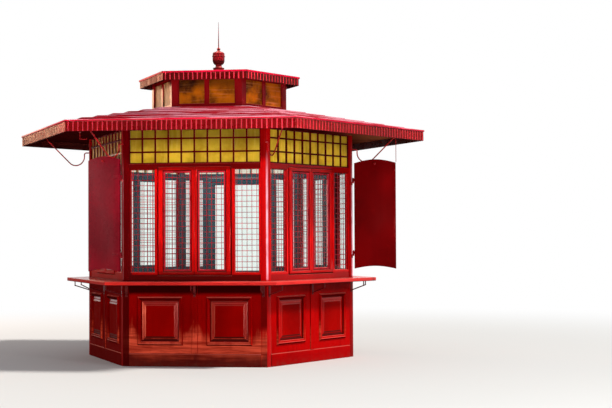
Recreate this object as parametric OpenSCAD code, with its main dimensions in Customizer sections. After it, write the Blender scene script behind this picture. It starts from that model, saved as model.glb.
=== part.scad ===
// Six-sided timber street kiosk with a serving counter, a glazed frieze,
// a boarded roof with deep eaves, a glazed lantern and a turned finial.
// Millimetres. The origin is on the kiosk's axis at ground level, +Z is up,
// and the front side faces -Y.

/* [Body] */
// Corner-to-centre radius of the wall's outer face
wall_r = 1820; // [1500:10:2200]
// Width of a corner post on each face
post_w = 76; // [60:1:95]
// Depth of a corner post behind each face
post_d = 76; // [60:1:100]
// Thickness of the panelled wall below the counter
wall_t = 45; // [40:1:60]
// Height of the plinth boards
plinth_h = 161; // [120:1:220]
// How far the plinth boards stand proud of the wall
plinth_out = 6; // [2:1:12]
// Thickness of the floor boards
floor_t = 30; // [20:1:40]
// Width of a floor board
floor_board_w = 140; // [90:5:200]
// Gap between pieces that are fitted together
fit_gap = 0.1; // [0.05:0.05:0.3]

/* [Counter] */
// Height of the counter's upper face
counter_z = 1060; // [880:1:1280]
// Thickness of the counter boards
counter_t = 47; // [30:1:60]
// How far the counter stands out from the wall
counter_out = 270; // [220:5:330]
// Thickness of the iron bars below the counter
strut_d = 14; // [10:1:20]
// Height that an iron bar rises from the wall to its tip
strut_rise = 66; // [40:1:90]
// Height of the upright tip that carries the counter
strut_tip = 59; // [40:1:80]

/* [Wall panels] */
// Width of the cover strip in the middle of a side
strip_w = 76; // [60:1:90]
// How far the cover strip stands proud
strip_out = 10; // [6:1:14]
// Gap between the middle of a side and a panel moulding
panel_mid = 150; // [110:1:170]
// Gap between a corner post and a panel moulding
panel_edge = 110; // [60:1:130]
// Height of the panel moulding's lower edge above the plinth
panel_foot = 104; // [60:1:140]
// Gap between the panel moulding's upper edge and the counter
panel_head = 148; // [100:1:200]
// Width of the panel moulding
mould_w = 45; // [30:1:50]
// How far the panel moulding stands proud
mould_out = 16; // [8:1:20]
// Width of the bevel around a raised field
bevel_w = 38; // [25:1:45]
// Depth of the panel's ground below the raised field
bevel_d = 15; // [8:1:20]

/* [Windows] */
// Height of the window head, where the frieze begins
head_z = 2520; // [2100:10:3030]
// Height of the sill member above the counter
sill_h = 105; // [80:1:130]
// Height of the head member
head_h = 70; // [50:1:90]
// Width of the frame member beside a corner post
frame_edge = 20; // [16:1:40]
// Width of a fixed side light
light_w = 310; // [240:5:340]
// Width of the mullion beside a fixed light
mullion_w = 34; // [30:1:60]
// Width of the shadow gap around a pair of sashes
shadow_w = 14; // [10:1:24]
// Depth of a window frame
frame_d = 60; // [50:1:66]
// Setback of a window frame behind the wall's face
frame_back = 8; // [4:1:10]
// Width of a sash's outer stile
stile_w = 54; // [46:1:64]
// Width of a sash's meeting stile
meeting_w = 32; // [26:1:48]
// Height of a sash's lower rail
sash_foot = 34; // [30:1:60]
// Height of a sash's upper rail
sash_head = 44; // [30:1:60]
// Width of the ledge inside a sash that carries a wire screen
ledge_w = 24; // [18:1:30]
// Depth of that ledge behind the sash's face
ledge_d = 12; // [6:1:14]
// Thickness of a sash
sash_t = 30; // [24:1:32]
// Gap between the two sashes of a pair
sash_gap = 3; // [2:0.5:5]
// Thickness of the window glass
glass_t = 4; // [3:1:6]
// Depth of a glazing rebate beyond the sight edge
rebate = 8; // [6:1:10]
// Room around a pane in its rebate
pane_gap = 1; // [0.5:0.5:2]

/* [Frieze] */
// Height of the glazed frieze
frieze_h = 435; // [380:5:480]
// Panes across one side of the frieze
frieze_cols = 10; // [8:1:12]
// Height from the window head to the lowest frieze bar
frieze_row0 = 146; // [120:1:160]
// Height from one frieze bar to the next
frieze_row = 168; // [150:1:180]
// Width of a frieze bar
bar_w = 15; // [10:1:22]
// Depth of a frieze bar
bar_d = 30; // [20:1:40]

/* [Door] */
// Gap between the door leaf's upper edge and the window head
door_head = 50; // [30:1:80]
// Thickness of the door leaf
door_t = 44; // [36:1:50]
// Width of the door's stiles and rails
door_rail = 100; // [80:1:120]
// Gap around the door leaf
door_gap = 4; // [3:0.5:6]

/* [Eaves and roof] */
// Height of the eaves board
eaves_h = 116; // [90:2:150]
// How far the eaves board stands out from the wall
eaves_out = 834; // [600:1:1000]
// Spacing of the cover strips on an eaves board
rib_pitch = 60; // [50:1:90]
// Width of a cover strip on an eaves board
rib_w = 15; // [10:1:24]
// How far a cover strip stands proud
rib_out = 7; // [4:1:10]
// Thickness of an eaves board
eaves_t = 22; // [18:1:30]
// Height of the soffit's lower face above the window head
soffit_up = 454; // [440:1:470]
// Thickness of the soffit boards
soffit_t = 16; // [12:1:22]
// Number of lapped roof courses
courses = 7; // [5:1:9]
// Slope of one roof course
course_slope = 5.5; // [3:0.5:8]
// Step from one roof course up to the next
course_step = 22; // [14:1:26]
// Thickness of a roof board
roof_t = 24; // [20:1:32]
// How far the roof boards oversail the eaves board
roof_lap = 6; // [2:1:12]

/* [Lantern] */
// Corner-to-centre radius of the lantern's wall
lantern_r = 930; // [700:1:1120]
// Width of a lantern post on each face
lantern_post_w = 85; // [60:1:95]
// Depth of the lantern's posts and rails
lantern_d = 50; // [40:1:60]
// Height of the lantern's lower rail above the roof
lantern_rail = 50; // [40:1:70]
// Height of the lantern's glass
lantern_glass_h = 308; // [260:2:330]
// Width of the bar between two lantern panes
lantern_bar = 65; // [40:1:80]
// Height of the lantern's head member
lantern_head = 40; // [30:1:50]
// How far the lantern's eaves board stands out
lantern_out = 155; // [120:5:200]
// Height of the lantern's eaves board
lantern_eaves_h = 92; // [70:2:110]
// Slope of the lantern's roof
lantern_slope = 5.5; // [3:0.5:8]

/* [Finial] */
// Radius of the finial's flared foot
finial_foot_r = 105; // [90:1:120]
// Height of the flared foot
finial_foot_h = 107; // [80:1:130]
// Radius of the ring between the foot and the neck
finial_ring_r = 72; // [60:1:85]
// Radius of the finial's neck
finial_neck_r = 42; // [34:1:48]
// Radius of the urn
urn_r = 83; // [70:1:95]
// Height of the urn
urn_h = 178; // [150:1:210]
// Height of the knob below the spike
knob_h = 55; // [40:1:70]
// Height of the spike
spike_h = 355; // [250:5:420]

/* [Ironwork] */
// Thickness of a round eaves bar
eaves_bar_d = 16; // [12:1:20]
// Distance of an eaves bar's upright leg from its post
leg_out = 65; // [50:1:90]
// Radius of an eaves bar's bend
bend_r = 122; // [100:1:140]
// Height of an eaves bar's bend centre above the window head
bend_up = 200; // [190:1:230]
// Height of an eaves bar's fixed end above its bend centre
tail_up = 50; // [40:1:80]
// Depth of the socket in the post that holds an eaves bar
socket_deep = 30; // [15:1:50]
// Play of an eaves bar in its socket, on the diameter
socket_play = 0.6; // [0.2:0.1:1]
// Distance of the hook under the eaves from the middle of its side
hook_u = 112; // [-200:1:400]
// Distance of the hook under the eaves from the wall
hook_out = 359; // [200:1:500]
// Turn of the hook's arm from its side
hook_turn = 71; // [0:1:180]

/* [Shutter leaves] */
// Width of a shutter leaf
leaf_w = 560; // [460:5:600]
// Height of a leaf's upper corner above the window head
leaf_over = 65; // [0:1:90]
// Thickness of a shutter leaf
leaf_t = 22; // [16:1:26]
// Height of a leaf's lower corner above the counter
leaf_up = 115; // [100:1:140]
// Rise of the curved upper edge
leaf_arch = 48; // [20:1:60]
// Rise of the curved lower edge
leaf_hollow = 36; // [10:1:50]
// Distance from a corner's edge to the hinge pin
pin_in = 14; // [14:1:30]
// Distance from the wall's face to the hinge pin
pin_out = 22; // [20:1:30]
// Diameter of a hinge pin
pin_d = 12; // [8:1:14]
// Play between a pin and its eye, on the radius
pin_play = 0.3; // [0.2:0.05:0.5]
// Angle of the right leaf from its closed place
right_open = 115; // [0:1:118]
// Angle of the left leaf from its closed place
left_open = 30; // [0:1:118]

/* [Hidden] */

RED = "#a8121a";
DEEP_RED = "#7d0d14";
DARK_RED = "#4b0a0e";
IRON = "#3a1214";
YELLOW = "#e2b93c";
AMBER = "#d98a2b";
CLEAR = "#bcd3da";
TIMBER = "#8a6a48";

$fn = 32;
SIDES = 6;
FRONT = 0;
FRONT_RIGHT = 1;
BACK_RIGHT = 2;
BACK = 3;
BACK_LEFT = 4;
FRONT_LEFT = 5;
SERVING = [FRONT, FRONT_RIGHT, BACK_RIGHT, BACK_LEFT, FRONT_LEFT];
// Open joint between boards that meet at a corner
joint = 1;
// A cut runs this far past the face that it leaves
over = 10;

wall_a = apothem(wall_r);
bay = wall_r / 2 - post_w - fit_gap;
floor_z = plinth_h - floor_t;
bearer_w = 70;
bearers = 5;
frieze_z1 = head_z + frieze_h;
soffit_z = head_z + soffit_up;
eaves_z = soffit_z + soffit_t;
plate_h = 100;
plate_t = 70;
bend_z = head_z + bend_up;
iron_z = bend_z + tail_up;
sill_z = counter_z + sill_h;
panel_z0 = plinth_h + panel_foot;
panel_z1 = counter_z - counter_t - panel_head;
light_z1 = head_z - head_h;
light_u = bay - frame_edge - light_w;
opening_u = light_u - mullion_w;
pair_u = opening_u - shadow_w;
pair_z0 = counter_z + sill_h - 26;
pair_z1 = head_z - head_h + 30;
stop_w = 14;
jamb_u = opening_u;
jamb_w = light_u - opening_u + frame_edge;
door_u = jamb_u - door_gap;
door_z0 = floor_z + door_gap + 4;
door_z1 = head_z - door_head;
door_back = 12;
eave_a = wall_a + eaves_out;
lantern_a = apothem(lantern_r);
roof_run = (eave_a + roof_lap - lantern_a) / courses;
course_rise = tidy(roof_run * tan(course_slope));
roof_z0 = eaves_z + 2 + roof_t;
roof_top = roof_z0 + courses * course_rise + (courses - 1) * course_step;
roof_fall = (roof_top - roof_z0) / (courses * roof_run);
lantern_z0 = roof_top - 10;
kerb_h = 120;
lantern_glass_z0 = roof_top + lantern_rail - 8;
lantern_glass_z1 = lantern_glass_z0 + lantern_glass_h;
lantern_head_z1 = lantern_glass_z1 + lantern_head;
lantern_eave_a = lantern_a + lantern_out;
lantern_roof_z0 = lantern_head_z1 + 40;
lantern_roof_a = lantern_eave_a + roof_lap;
lantern_roof_rise = tidy((lantern_roof_a - finial_foot_r) * tan(lantern_slope));
lantern_roof_z1 = lantern_roof_z0 + roof_t + lantern_roof_rise;
finial_z = lantern_roof_z1 + fit_gap;
leaf_z0 = counter_z + leaf_up;
leaf_z1 = head_z + leaf_over;
eye_r = pin_d / 2 + pin_play + 5;
leaf_edge = eye_r + 4;
pin_z = [leaf_z0 + 190, leaf_z1 - 250];
eye_h = 50;

// Value in steps of a tenth of a millimetre
function tidy(x) = round(10 * x) / 10;

// Apothem of a regular hexagon with corner radius r
function apothem(r) = r * cos(30);

// Corner radius of a regular hexagon with apothem a
function corner(a) = a / cos(30);

// Moves a shape drawn in a side's own frame to side i.
// There u runs along +X, y = 0 is the wall's outer face and +Y points inward.
module on_side(i, a = wall_a) {
    rotate([0, 0, 60 * i]) translate([0, -a, 0]) children();
}

// Moves a shape drawn around a corner's edge to the corner after side i.
module at_corner(i, r = wall_r) {
    rotate([0, 0, 60 * i + 30]) translate([0, -r, 0]) children();
}

// Block from its low and high values along u, y and z
module block(u, y, z) {
    translate([u[0], y[0], z[0]]) cube([u[1] - u[0], y[1] - y[0], z[1] - z[0]]);
}

// Wedge that keeps one side's share of a ring, less half a joint at each hip
module side_wedge(a, z0, z1, gap = joint) {
    far = 2 * a;
    tip = -gap;
    translate([0, 0, z0]) linear_extrude(z1 - z0)
        polygon([[0, tip], [far * tan(30), -far + tip], [-far * tan(30), -far + tip]]);
}

// Flat ring of six mitred boards between two apothems, drawn one side at a time
module mitred_board(i, a0, a1, z0, z1) {
    rotate([0, 0, 60 * i]) intersection() {
        block([-corner(a1), corner(a1)], [-a1, -a0], [z0, z1]);
        side_wedge(a1, z0 - over, z1 + over);
    }
}

// Outline of a corner post, w along each face and d behind it
module post_outline(w, d, gap = 0) {
    along = [sin(60), cos(60)] * (w + gap);
    inward = [-cos(60), sin(60)] * (d + gap);
    end = along + inward;
    heel = [0, (d + gap) / cos(30)];
    polygon([[0, 0], along, end, heel, [-end[0], end[1]], [-along[0], along[1]]]);
}

module floor_bearers() {
    reach = wall_a - wall_t - bearer_w;
    half = corner(wall_a - wall_t) - 2 * bearer_w;
    color(TIMBER) for (k = [0 : bearers - 1]) {
        y = -reach + 2 * reach * k / (bearers - 1);
        u = half - abs(y) / tan(60);
        block([-u, u], [y - bearer_w / 2, y + bearer_w / 2], [0, floor_z - floor_t]);
    }
}

// Floor boards with open joints on their upper face, notched around the posts
module floor_boards() {
    groove = 4;
    rows = floor(wall_a / floor_board_w);
    color(TIMBER) difference() {
        translate([0, 0, floor_z - floor_t])
            cylinder(h = floor_t, r = corner(wall_a - wall_t - joint), $fn = SIDES);
        for (i = [0 : SIDES - 1])
            at_corner(i) translate([0, 0, floor_z - floor_t - over])
                linear_extrude(floor_t + 2 * over) post_outline(post_w, post_d, joint);
        on_side(BACK) for (s = [-1, 1]) translate([s * (jamb_u + jamb_w / 2), 0, 0])
            block([-jamb_w / 2 - joint, jamb_w / 2 + joint], [0, frame_back + frame_d + joint],
                  [0, plinth_h]);
        for (k = [-rows : rows]) translate([0, k * floor_board_w, 0])
            block([-wall_r, wall_r], [-groove / 2, groove / 2], [floor_z - groove, plinth_h]);
    }
}

// Plinth board that stands proud of the wall, with a chamfered upper edge
module plinth_board(u) {
    top = plinth_h - fit_gap;
    translate([u[0], 0, 0]) rotate([90, 0, 90]) linear_extrude(u[1] - u[0])
        polygon([[wall_t, 0], [wall_t, top], [0, top], [-plinth_out, top - plinth_out],
                 [-plinth_out, 0]]);
}

// Boards at the foot of the walls, and the sill under the door
module plinth_boards() {
    color(DEEP_RED) {
        for (i = SERVING) on_side(i) plinth_board([-bay, bay]);
        on_side(BACK) {
            for (s = [-1, 1]) {
                ends = [s * (jamb_u + jamb_w), s * bay];
                plinth_board([min(ends), max(ends)]);
            }
            block([-jamb_u, jamb_u], [0, wall_t], [0, floor_z]);
        }
    }
}

// Posts from the ground to the wall plates, each with a socket for its eaves iron
module corner_posts() {
    color(DEEP_RED) for (i = [0 : SIDES - 1]) at_corner(i) difference() {
        linear_extrude(frieze_z1) post_outline(post_w, post_d);
        translate([0, -over, iron_z]) rotate([-90, 0, 0])
            cylinder(h = over + socket_deep, d = eaves_bar_d + socket_play);
    }
}

// Solid with four sloping sides that meet in mitred corners.
// It narrows by slope_w on each side as it comes forward from y1 to y0.
module bevelled(u, z, y0, y1, slope_w) {
    intersection() {
        translate([0, 0, z[0]]) linear_extrude(z[1] - z[0])
            polygon([[u[0], y1], [u[1], y1], [u[1] - slope_w, y0], [u[0] + slope_w, y0]]);
        translate([u[0], 0, 0]) rotate([90, 0, 90]) linear_extrude(u[1] - u[0])
            polygon([[y1, z[0]], [y1, z[1]], [y0, z[1] - slope_w], [y0, z[0] + slope_w]]);
    }
}

// Moulded frame around a panel: a sloping outer edge and a flat top
module panel_moulding(u, z) {
    difference() {
        bevelled(u, z, -mould_out, 0, mould_out / 2);
        block([u[0] + mould_w, u[1] - mould_w], [-mould_out - over, over],
              [z[0] + mould_w, z[1] - mould_w]);
    }
}

// Bay of panelled wall with one raised panel per entry of panels
module panelled_wall(u, z, panels) {
    difference() {
        block(u, [0, wall_t], z);
        for (p = panels)
            block([p[0] + mould_w, p[1] - mould_w], [-over, bevel_d],
                  [panel_z0 + mould_w, panel_z1 - mould_w]);
    }
    for (p = panels) {
        panel_moulding(p, [panel_z0, panel_z1]);
        bevelled([p[0] + mould_w, p[1] - mould_w],
                 [panel_z0 + mould_w, panel_z1 - mould_w], 0, bevel_d, bevel_w);
    }
}

// Panelled wall of a serving side, with its two panels and the middle strip
module wainscot(i) {
    p = [panel_mid, bay - panel_edge];
    color(RED) on_side(i) {
        panelled_wall([-bay, bay], [plinth_h, counter_z], [[-p[1], -p[0]], p]);
        block([-strip_w / 2, strip_w / 2], [-strip_out, 0], [plinth_h, counter_z - counter_t]);
    }
}

// Two narrow panels beside the door
module wainscot_beside_door() {
    inner = jamb_u + jamb_w;
    margin = (bay - inner) / 6;
    color(RED) on_side(BACK) for (s = [-1, 1]) {
        ends = [s * inner, s * bay];
        u = [min(ends), max(ends)];
        panelled_wall(u, [plinth_h, counter_z], [[u[0] + margin, u[1] - margin]]);
    }
}

module counter_boards() {
    color(RED) for (i = SERVING)
        mitred_board(i, wall_a, wall_a + counter_out, counter_z - counter_t, counter_z);
}

// Iron under the counter: wall plate, rising bar, forged knuckle and upright tip
module counter_iron(seat) {
    reach = 205;
    proud = seat + fit_gap;
    foot_z = counter_z - counter_t - strut_tip - strut_rise;
    tip = [0, -reach, foot_z + strut_rise];
    plate_w = 30;
    plate_t = 6;
    start = proud + plate_t / 2;
    run = reach - start;
    slope = atan(strut_rise / run);
    block([-plate_w / 2, plate_w / 2], [-proud - plate_t, -proud],
          [foot_z - 25, counter_z - counter_t - fit_gap]);
    translate([0, -start, foot_z]) rotate([90 - slope, 0, 0])
        cylinder(h = run / cos(slope), d = strut_d);
    translate(tip) sphere(d = strut_d + 3);
    translate(tip) cylinder(h = strut_tip - fit_gap, d = strut_d);
}

module counter_irons() {
    at_post = wall_r / 2 - 44;
    color(IRON) for (i = SERVING) on_side(i) {
        counter_iron(strip_out);
        for (s = [-1, 1]) translate([s * at_post, 0, 0]) counter_iron(0);
    }
}

// Glazed opening through a frame with a rebate for the pane behind it
module glazed_opening(u, z, front, shoulder, back) {
    block(u, [front - over, back + over], z);
    block([u[0] - rebate, u[1] + rebate], [shoulder, back + over], [z[0] - rebate, z[1] + rebate]);
}

// Pane that fits the rebate of a glazed opening
module pane(u, z, shoulder) {
    grow = rebate - pane_gap;
    block([u[0] - grow, u[1] + grow], [shoulder, shoulder + glass_t],
          [z[0] - grow, z[1] + grow]);
}

// Sight size of the fixed light on side s of the middle
function light_span(s) = s < 0 ? [-light_u - light_w, -light_u] : [light_u, light_u + light_w];

// Sight size of the sash on side s of the middle
function sash_span(s) = s < 0 ? [-pair_u, -sash_gap / 2] : [sash_gap / 2, pair_u];

// Opening in the face of the sash on side s of the middle, less in on each side
function sash_opening(s, in = 0) = s < 0
    ? [-pair_u + stile_w + in, -sash_gap / 2 - meeting_w - in]
    : [sash_gap / 2 + meeting_w + in, pair_u - stile_w - in];

light_shoulder = frame_back + 26;
sash_shoulder = ledge_d + 8;
sash_sight_z = [pair_z0 + sash_foot + ledge_w, pair_z1 - sash_head - ledge_w];

// Frame with two fixed lights and the opening for a pair of sashes
module window_frame() {
    y = [frame_back, frame_back + frame_d];
    difference() {
        block([-bay, bay], y, [counter_z, head_z]);
        for (s = [-1, 1])
            glazed_opening(light_span(s), [sill_z, light_z1], y[0], light_shoulder, y[1]);
        block([-opening_u, opening_u], [y[0] - over, sash_t],
              [pair_z0 - shadow_w, pair_z1 + shadow_w / 2]);
        block([-pair_u + stop_w, pair_u - stop_w], [y[0] - over, y[1] + over],
              [pair_z0 + stop_w, pair_z1 - stop_w]);
    }
}

// Narrow frame with one fixed light beside the door
module side_frame(s) {
    y = [frame_back, frame_back + frame_d];
    ends = [s * (jamb_u + jamb_w), s * bay];
    sight = [ends[0] + s * frame_edge, ends[1] - s * frame_edge];
    difference() {
        block([min(ends), max(ends)], y, [counter_z, head_z]);
        glazed_opening([min(sight), max(sight)], [sill_z, light_z1], y[0], light_shoulder, y[1]);
    }
}

module window_frames() {
    color(RED) {
        for (i = SERVING) on_side(i) window_frame();
        on_side(BACK) for (s = [-1, 1]) side_frame(s);
    }
}

// Pairs of sashes, each with a sunk ledge around its pane
module window_sashes() {
    color(RED) for (i = SERVING, s = [-1, 1]) on_side(i) difference() {
        block(sash_span(s), [0, sash_t], [pair_z0, pair_z1]);
        block(sash_opening(s), [-over, ledge_d], [pair_z0 + sash_foot, pair_z1 - sash_head]);
        glazed_opening(sash_opening(s, ledge_w), sash_sight_z, 0, sash_shoulder, sash_t);
    }
}

module window_panes() {
    side_sight = [jamb_u + jamb_w + frame_edge, bay - frame_edge];
    color(CLEAR, 0.4) {
        for (i = SERVING, s = [-1, 1]) on_side(i) {
            pane(light_span(s), [sill_z, light_z1], light_shoulder);
            pane(sash_opening(s, ledge_w), sash_sight_z, sash_shoulder);
        }
        on_side(BACK) {
            pane(side_sight, [sill_z, light_z1], light_shoulder);
            pane([-side_sight[1], -side_sight[0]], [sill_z, light_z1], light_shoulder);
        }
    }
}

// Grid of glazing bars above the windows
module frieze_bars() {
    edge = bar_w - 1;
    pitch = (2 * bay - 2 * edge + bar_w) / frieze_cols;
    y = [10, 10 + bar_d];
    rows = [head_z + bar_w, head_z + frieze_row0 - bar_w / 2,
            head_z + frieze_row0 + frieze_row - bar_w / 2];
    tops = [rows[1], rows[2], frieze_z1 - bar_w];
    color(RED) for (i = [0 : SIDES - 1]) on_side(i) difference() {
        block([-bay, bay], y, [head_z, frieze_z1]);
        for (c = [0 : frieze_cols - 1], r = [0 : 2]) {
            u = -bay + edge + c * pitch;
            low = r == 0 ? rows[0] : rows[r] + bar_w;
            block([u, u + pitch - bar_w], [0, y[1] + over], [low, tops[r]]);
        }
    }
}

module frieze_glass() {
    color(YELLOW, 0.7) for (i = [0 : SIDES - 1]) on_side(i)
        block([-bay + joint, bay - joint], [10 + bar_d, 10 + bar_d + glass_t],
              [head_z + joint, frieze_z1 - joint]);
}

// Jambs beside the door and the head over it
module door_frame() {
    y = [frame_back, frame_back + frame_d];
    color(RED) on_side(BACK) difference() {
        block([-jamb_u - jamb_w, jamb_u + jamb_w], y, [0, head_z]);
        block([-jamb_u, jamb_u], [y[0] - over, y[1] + over], [-over, door_z1 + door_gap]);
    }
}

// Framed door with a raised panel below and a glazed opening above
door_lock_z = counter_z;
door_sight_u = door_u - door_rail;
module door_leaf() {
    y = [door_back, door_back + door_t];
    panel_z = [door_z0 + 1.5 * door_rail, door_lock_z - door_rail / 2];
    color(RED) on_side(BACK) {
        difference() {
            block([-door_u, door_u], y, [door_z0, door_z1]);
            block([-door_sight_u, door_sight_u], [y[0] - over, y[0] + bevel_d], panel_z);
            glazed_opening([-door_sight_u, door_sight_u],
                           [door_lock_z + door_rail / 2, door_z1 - door_rail],
                           y[0], y[0] + 20, y[1]);
        }
        bevelled([-door_sight_u, door_sight_u], panel_z, y[0], y[0] + bevel_d, bevel_w);
    }
}

// Three butt hinges on the door's left-hand edge, seen from outside
module door_hinges() {
    barrel_r = 8;
    barrel_h = 100;
    flap_w = 36;
    flap_t = 4;
    seam = -door_u - door_gap / 2;
    rise = (door_z1 - door_z0 - 2 * door_rail - barrel_h) / 2;
    color(IRON) on_side(BACK) for (k = [0 : 2]) {
        z = door_z0 + door_rail + k * rise;
        translate([seam, frame_back - barrel_r, z]) cylinder(h = barrel_h, r = barrel_r);
        block([seam - flap_w, seam], [frame_back - flap_t, frame_back], [z, z + barrel_h]);
        block([seam, seam + flap_w], [frame_back - flap_t, door_back], [z, z + barrel_h]);
    }
}

module door_glass() {
    color(CLEAR, 0.4) on_side(BACK)
        pane([-door_sight_u, door_sight_u],
             [door_lock_z + door_rail / 2, door_z1 - door_rail], door_back + 20);
}

// Turned knob on a round rose
module door_handle() {
    color(IRON) on_side(BACK)
        translate([door_u - door_rail / 2, door_back, door_lock_z]) rotate([90, 0, 0])
            rotate_extrude() polygon([[0, 0], [26, 0], [26, 5], [9, 8], [8, 34],
                                      [20, 40], [26, 50], [22, 60], [12, 65], [0, 66]]);
}

module wall_plates() {
    color(DARK_RED) for (i = [0 : SIDES - 1])
        mitred_board(i, wall_a - plate_t, wall_a, frieze_z1, frieze_z1 + plate_h);
}

// Height of the roof boards' underside at apothem a
function roof_under(a) = roof_z0 - roof_t + (eave_a + roof_lap - a) * roof_fall;

// Height of a hip rafter's upper edge at corner radius r
function rafter_top(r) = roof_under(apothem(r)) - 8;

// Rafters under the hips, from the wall plates up to the lantern's kerb
module hip_rafters() {
    rafter_w = 50;
    rafter_h = 110;
    out_r = wall_r + 40;
    seat = frieze_z1 + plate_h;
    color(TIMBER) difference() {
        for (i = [0 : SIDES - 1]) rotate([0, 0, 60 * i + 30])
            rotate([90, 0, -90]) translate([0, 0, -rafter_w / 2]) linear_extrude(rafter_w)
                polygon([[out_r, seat], [out_r, rafter_top(out_r)],
                         [lantern_r - rafter_w, rafter_top(lantern_r - rafter_w)],
                         [lantern_r - rafter_w, rafter_top(lantern_r - rafter_w) - rafter_h],
                         [wall_r - 2 * plate_t, seat]]);
        cylinder(h = roof_top, r = lantern_r, $fn = SIDES);
    }
}

// Boards under the eaves, with open joints between them on the lower face
module soffit_boards() {
    boards = 5;
    groove = 5;
    far = eave_a - eaves_t;
    color(DARK_RED) for (i = [0 : SIDES - 1]) difference() {
        mitred_board(i, wall_a, far, soffit_z, soffit_z + soffit_t);
        for (k = [1 : boards - 1]) {
            a = wall_a + (far - wall_a) * k / boards;
            rotate([0, 0, 60 * i])
                block([-corner(far), corner(far)], [-a - groove / 2, -a + groove / 2],
                      [soffit_z - over, soffit_z + groove]);
        }
    }
}

// Upright board with a row of narrow cover strips on its outer face
module ribbed_board(a, z0, z1, t, pitch) {
    half = a * tan(30) - joint;
    ribs = floor(2 * half / pitch);
    first = -(ribs - 1) * pitch / 2;
    inner = half - t * tan(30);
    strips = [for (k = [0 : ribs - 1], p = [[-1, 0], [-1, 1], [1, 1], [1, 0]])
        [first + k * pitch + p[0] * rib_w / 2, -a - p[1] * rib_out]];
    translate([0, 0, z0]) linear_extrude(z1 - z0)
        polygon(concat([[-inner, -a + t], [-half, -a]], strips, [[half, -a], [inner, -a + t]]));
}

module eaves_boards() {
    color(RED) for (i = [0 : SIDES - 1]) rotate([0, 0, 60 * i])
        ribbed_board(eave_a - rib_out, eaves_z - eaves_h, eaves_z, eaves_t - rib_out, rib_pitch);
}

// Solid of a round bar bent in the YZ plane, along a path of [y, z] points
module bent_bar(path, d, sides = 12) {
    last = len(path) - 1;
    function along(i) = let (v = path[min(i + 1, last)] - path[max(i - 1, 0)]) v / norm(v);
    points = [for (i = [0 : last], k = [0 : sides - 1])
        let (t = along(i), a = 360 * k / sides)
        [d / 2 * cos(a), path[i][0] - d / 2 * sin(a) * t[1], path[i][1] + d / 2 * sin(a) * t[0]]];
    walls = [for (i = [0 : last - 1], k = [0 : sides - 1], half = [0, 1])
        let (n = (k + 1) % sides, a = i * sides, b = (i + 1) * sides)
        half == 0 ? [a + k, b + k, b + n] : [a + k, b + n, a + n]];
    ends = [for (k = [1 : sides - 2], tip = [0, last * sides])
        tip == 0 ? [0, k, k + 1] : [tip, tip + k + 1, tip + k]];
    polyhedron(points, concat(walls, ends));
}

// Eaves iron: one bar that leaves its socket, turns down, sweeps round an open
// bend and slopes out and up to the soffit
module eaves_iron() {
    elbow_r = 24;
    elbow = [for (a = [90 : -22.5 : 0])
        [-leg_out + elbow_r * (1 - cos(a)), iron_z - elbow_r * (1 - sin(a))]];
    bend = [for (a = [0 : 13.5 : 135])
        [-leg_out - bend_r * (1 - cos(a)), bend_z - bend_r * sin(a)]];
    out = bend[len(bend) - 1];
    rise = soffit_z - eaves_bar_d - out[1];
    tip = [out[0] - rise, soffit_z - eaves_bar_d];
    bent_bar(concat([[socket_deep, iron_z]], elbow, bend, [tip, [tip[0], soffit_z]]), eaves_bar_d);
}

module eaves_irons() {
    color(IRON) for (i = [0 : SIDES - 1]) at_corner(i) eaves_iron();
}

// One slope of the roof: lapped courses that step up towards the lantern
module roof_slopes() {
    steps = [for (k = [0 : courses - 1], end = [0, 1])
        let (a = eave_a + roof_lap - (k + end) * roof_run)
        [-a, roof_z0 + k * (course_rise + course_step) + end * course_rise]];
    far = eave_a + roof_lap;
    color(DEEP_RED) for (i = [0 : SIDES - 1]) rotate([0, 0, 60 * i]) intersection() {
        translate([-corner(far), 0, 0]) rotate([90, 0, 90]) linear_extrude(2 * corner(far))
            polygon(concat([[-lantern_a, roof_under(lantern_a)], [-far, roof_z0 - roof_t]], steps));
        side_wedge(far, 0, roof_top + 2 * over);
    }
}

module lantern_kerb() {
    color(DARK_RED) for (i = [0 : SIDES - 1])
        mitred_board(i, lantern_a - lantern_d, lantern_a, roof_under(lantern_a) - kerb_h, lantern_z0);
}

module lantern_posts() {
    color(RED) for (i = [0 : SIDES - 1]) at_corner(i, lantern_r)
        translate([0, 0, lantern_z0]) linear_extrude(lantern_head_z1 - lantern_z0)
            post_outline(lantern_post_w, lantern_d);
}

lantern_bay = lantern_r / 2 - lantern_post_w - fit_gap;
function lantern_span(s) = s < 0
    ? [-lantern_bay + rebate + 4, -lantern_bar / 2]
    : [lantern_bar / 2, lantern_bay - rebate - 4];

module lantern_frames() {
    y = [6, lantern_d - 4];
    color(RED) for (i = [0 : SIDES - 1]) on_side(i, lantern_a) difference() {
        block([-lantern_bay, lantern_bay], y, [lantern_z0, lantern_head_z1]);
        for (s = [-1, 1])
            glazed_opening(lantern_span(s), [lantern_glass_z0, lantern_glass_z1],
                           y[0], y[0] + 16, y[1]);
    }
}

module lantern_panes() {
    color(AMBER, 0.7) for (i = [0 : SIDES - 1], s = [-1, 1]) on_side(i, lantern_a)
        pane(lantern_span(s), [lantern_glass_z0, lantern_glass_z1], 22);
}

module lantern_plates() {
    color(DARK_RED) for (i = [0 : SIDES - 1])
        mitred_board(i, lantern_a - lantern_d, lantern_a, lantern_head_z1, lantern_roof_z0);
}

module lantern_soffit() {
    color(DARK_RED) for (i = [0 : SIDES - 1])
        mitred_board(i, lantern_a, lantern_eave_a - eaves_t,
                     lantern_head_z1, lantern_head_z1 + soffit_t);
}

module lantern_eaves() {
    color(RED) for (i = [0 : SIDES - 1]) rotate([0, 0, 60 * i])
        ribbed_board(lantern_eave_a - rib_out, lantern_roof_z0 - lantern_eaves_h,
                     lantern_roof_z0, eaves_t - rib_out, rib_pitch);
}

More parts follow.
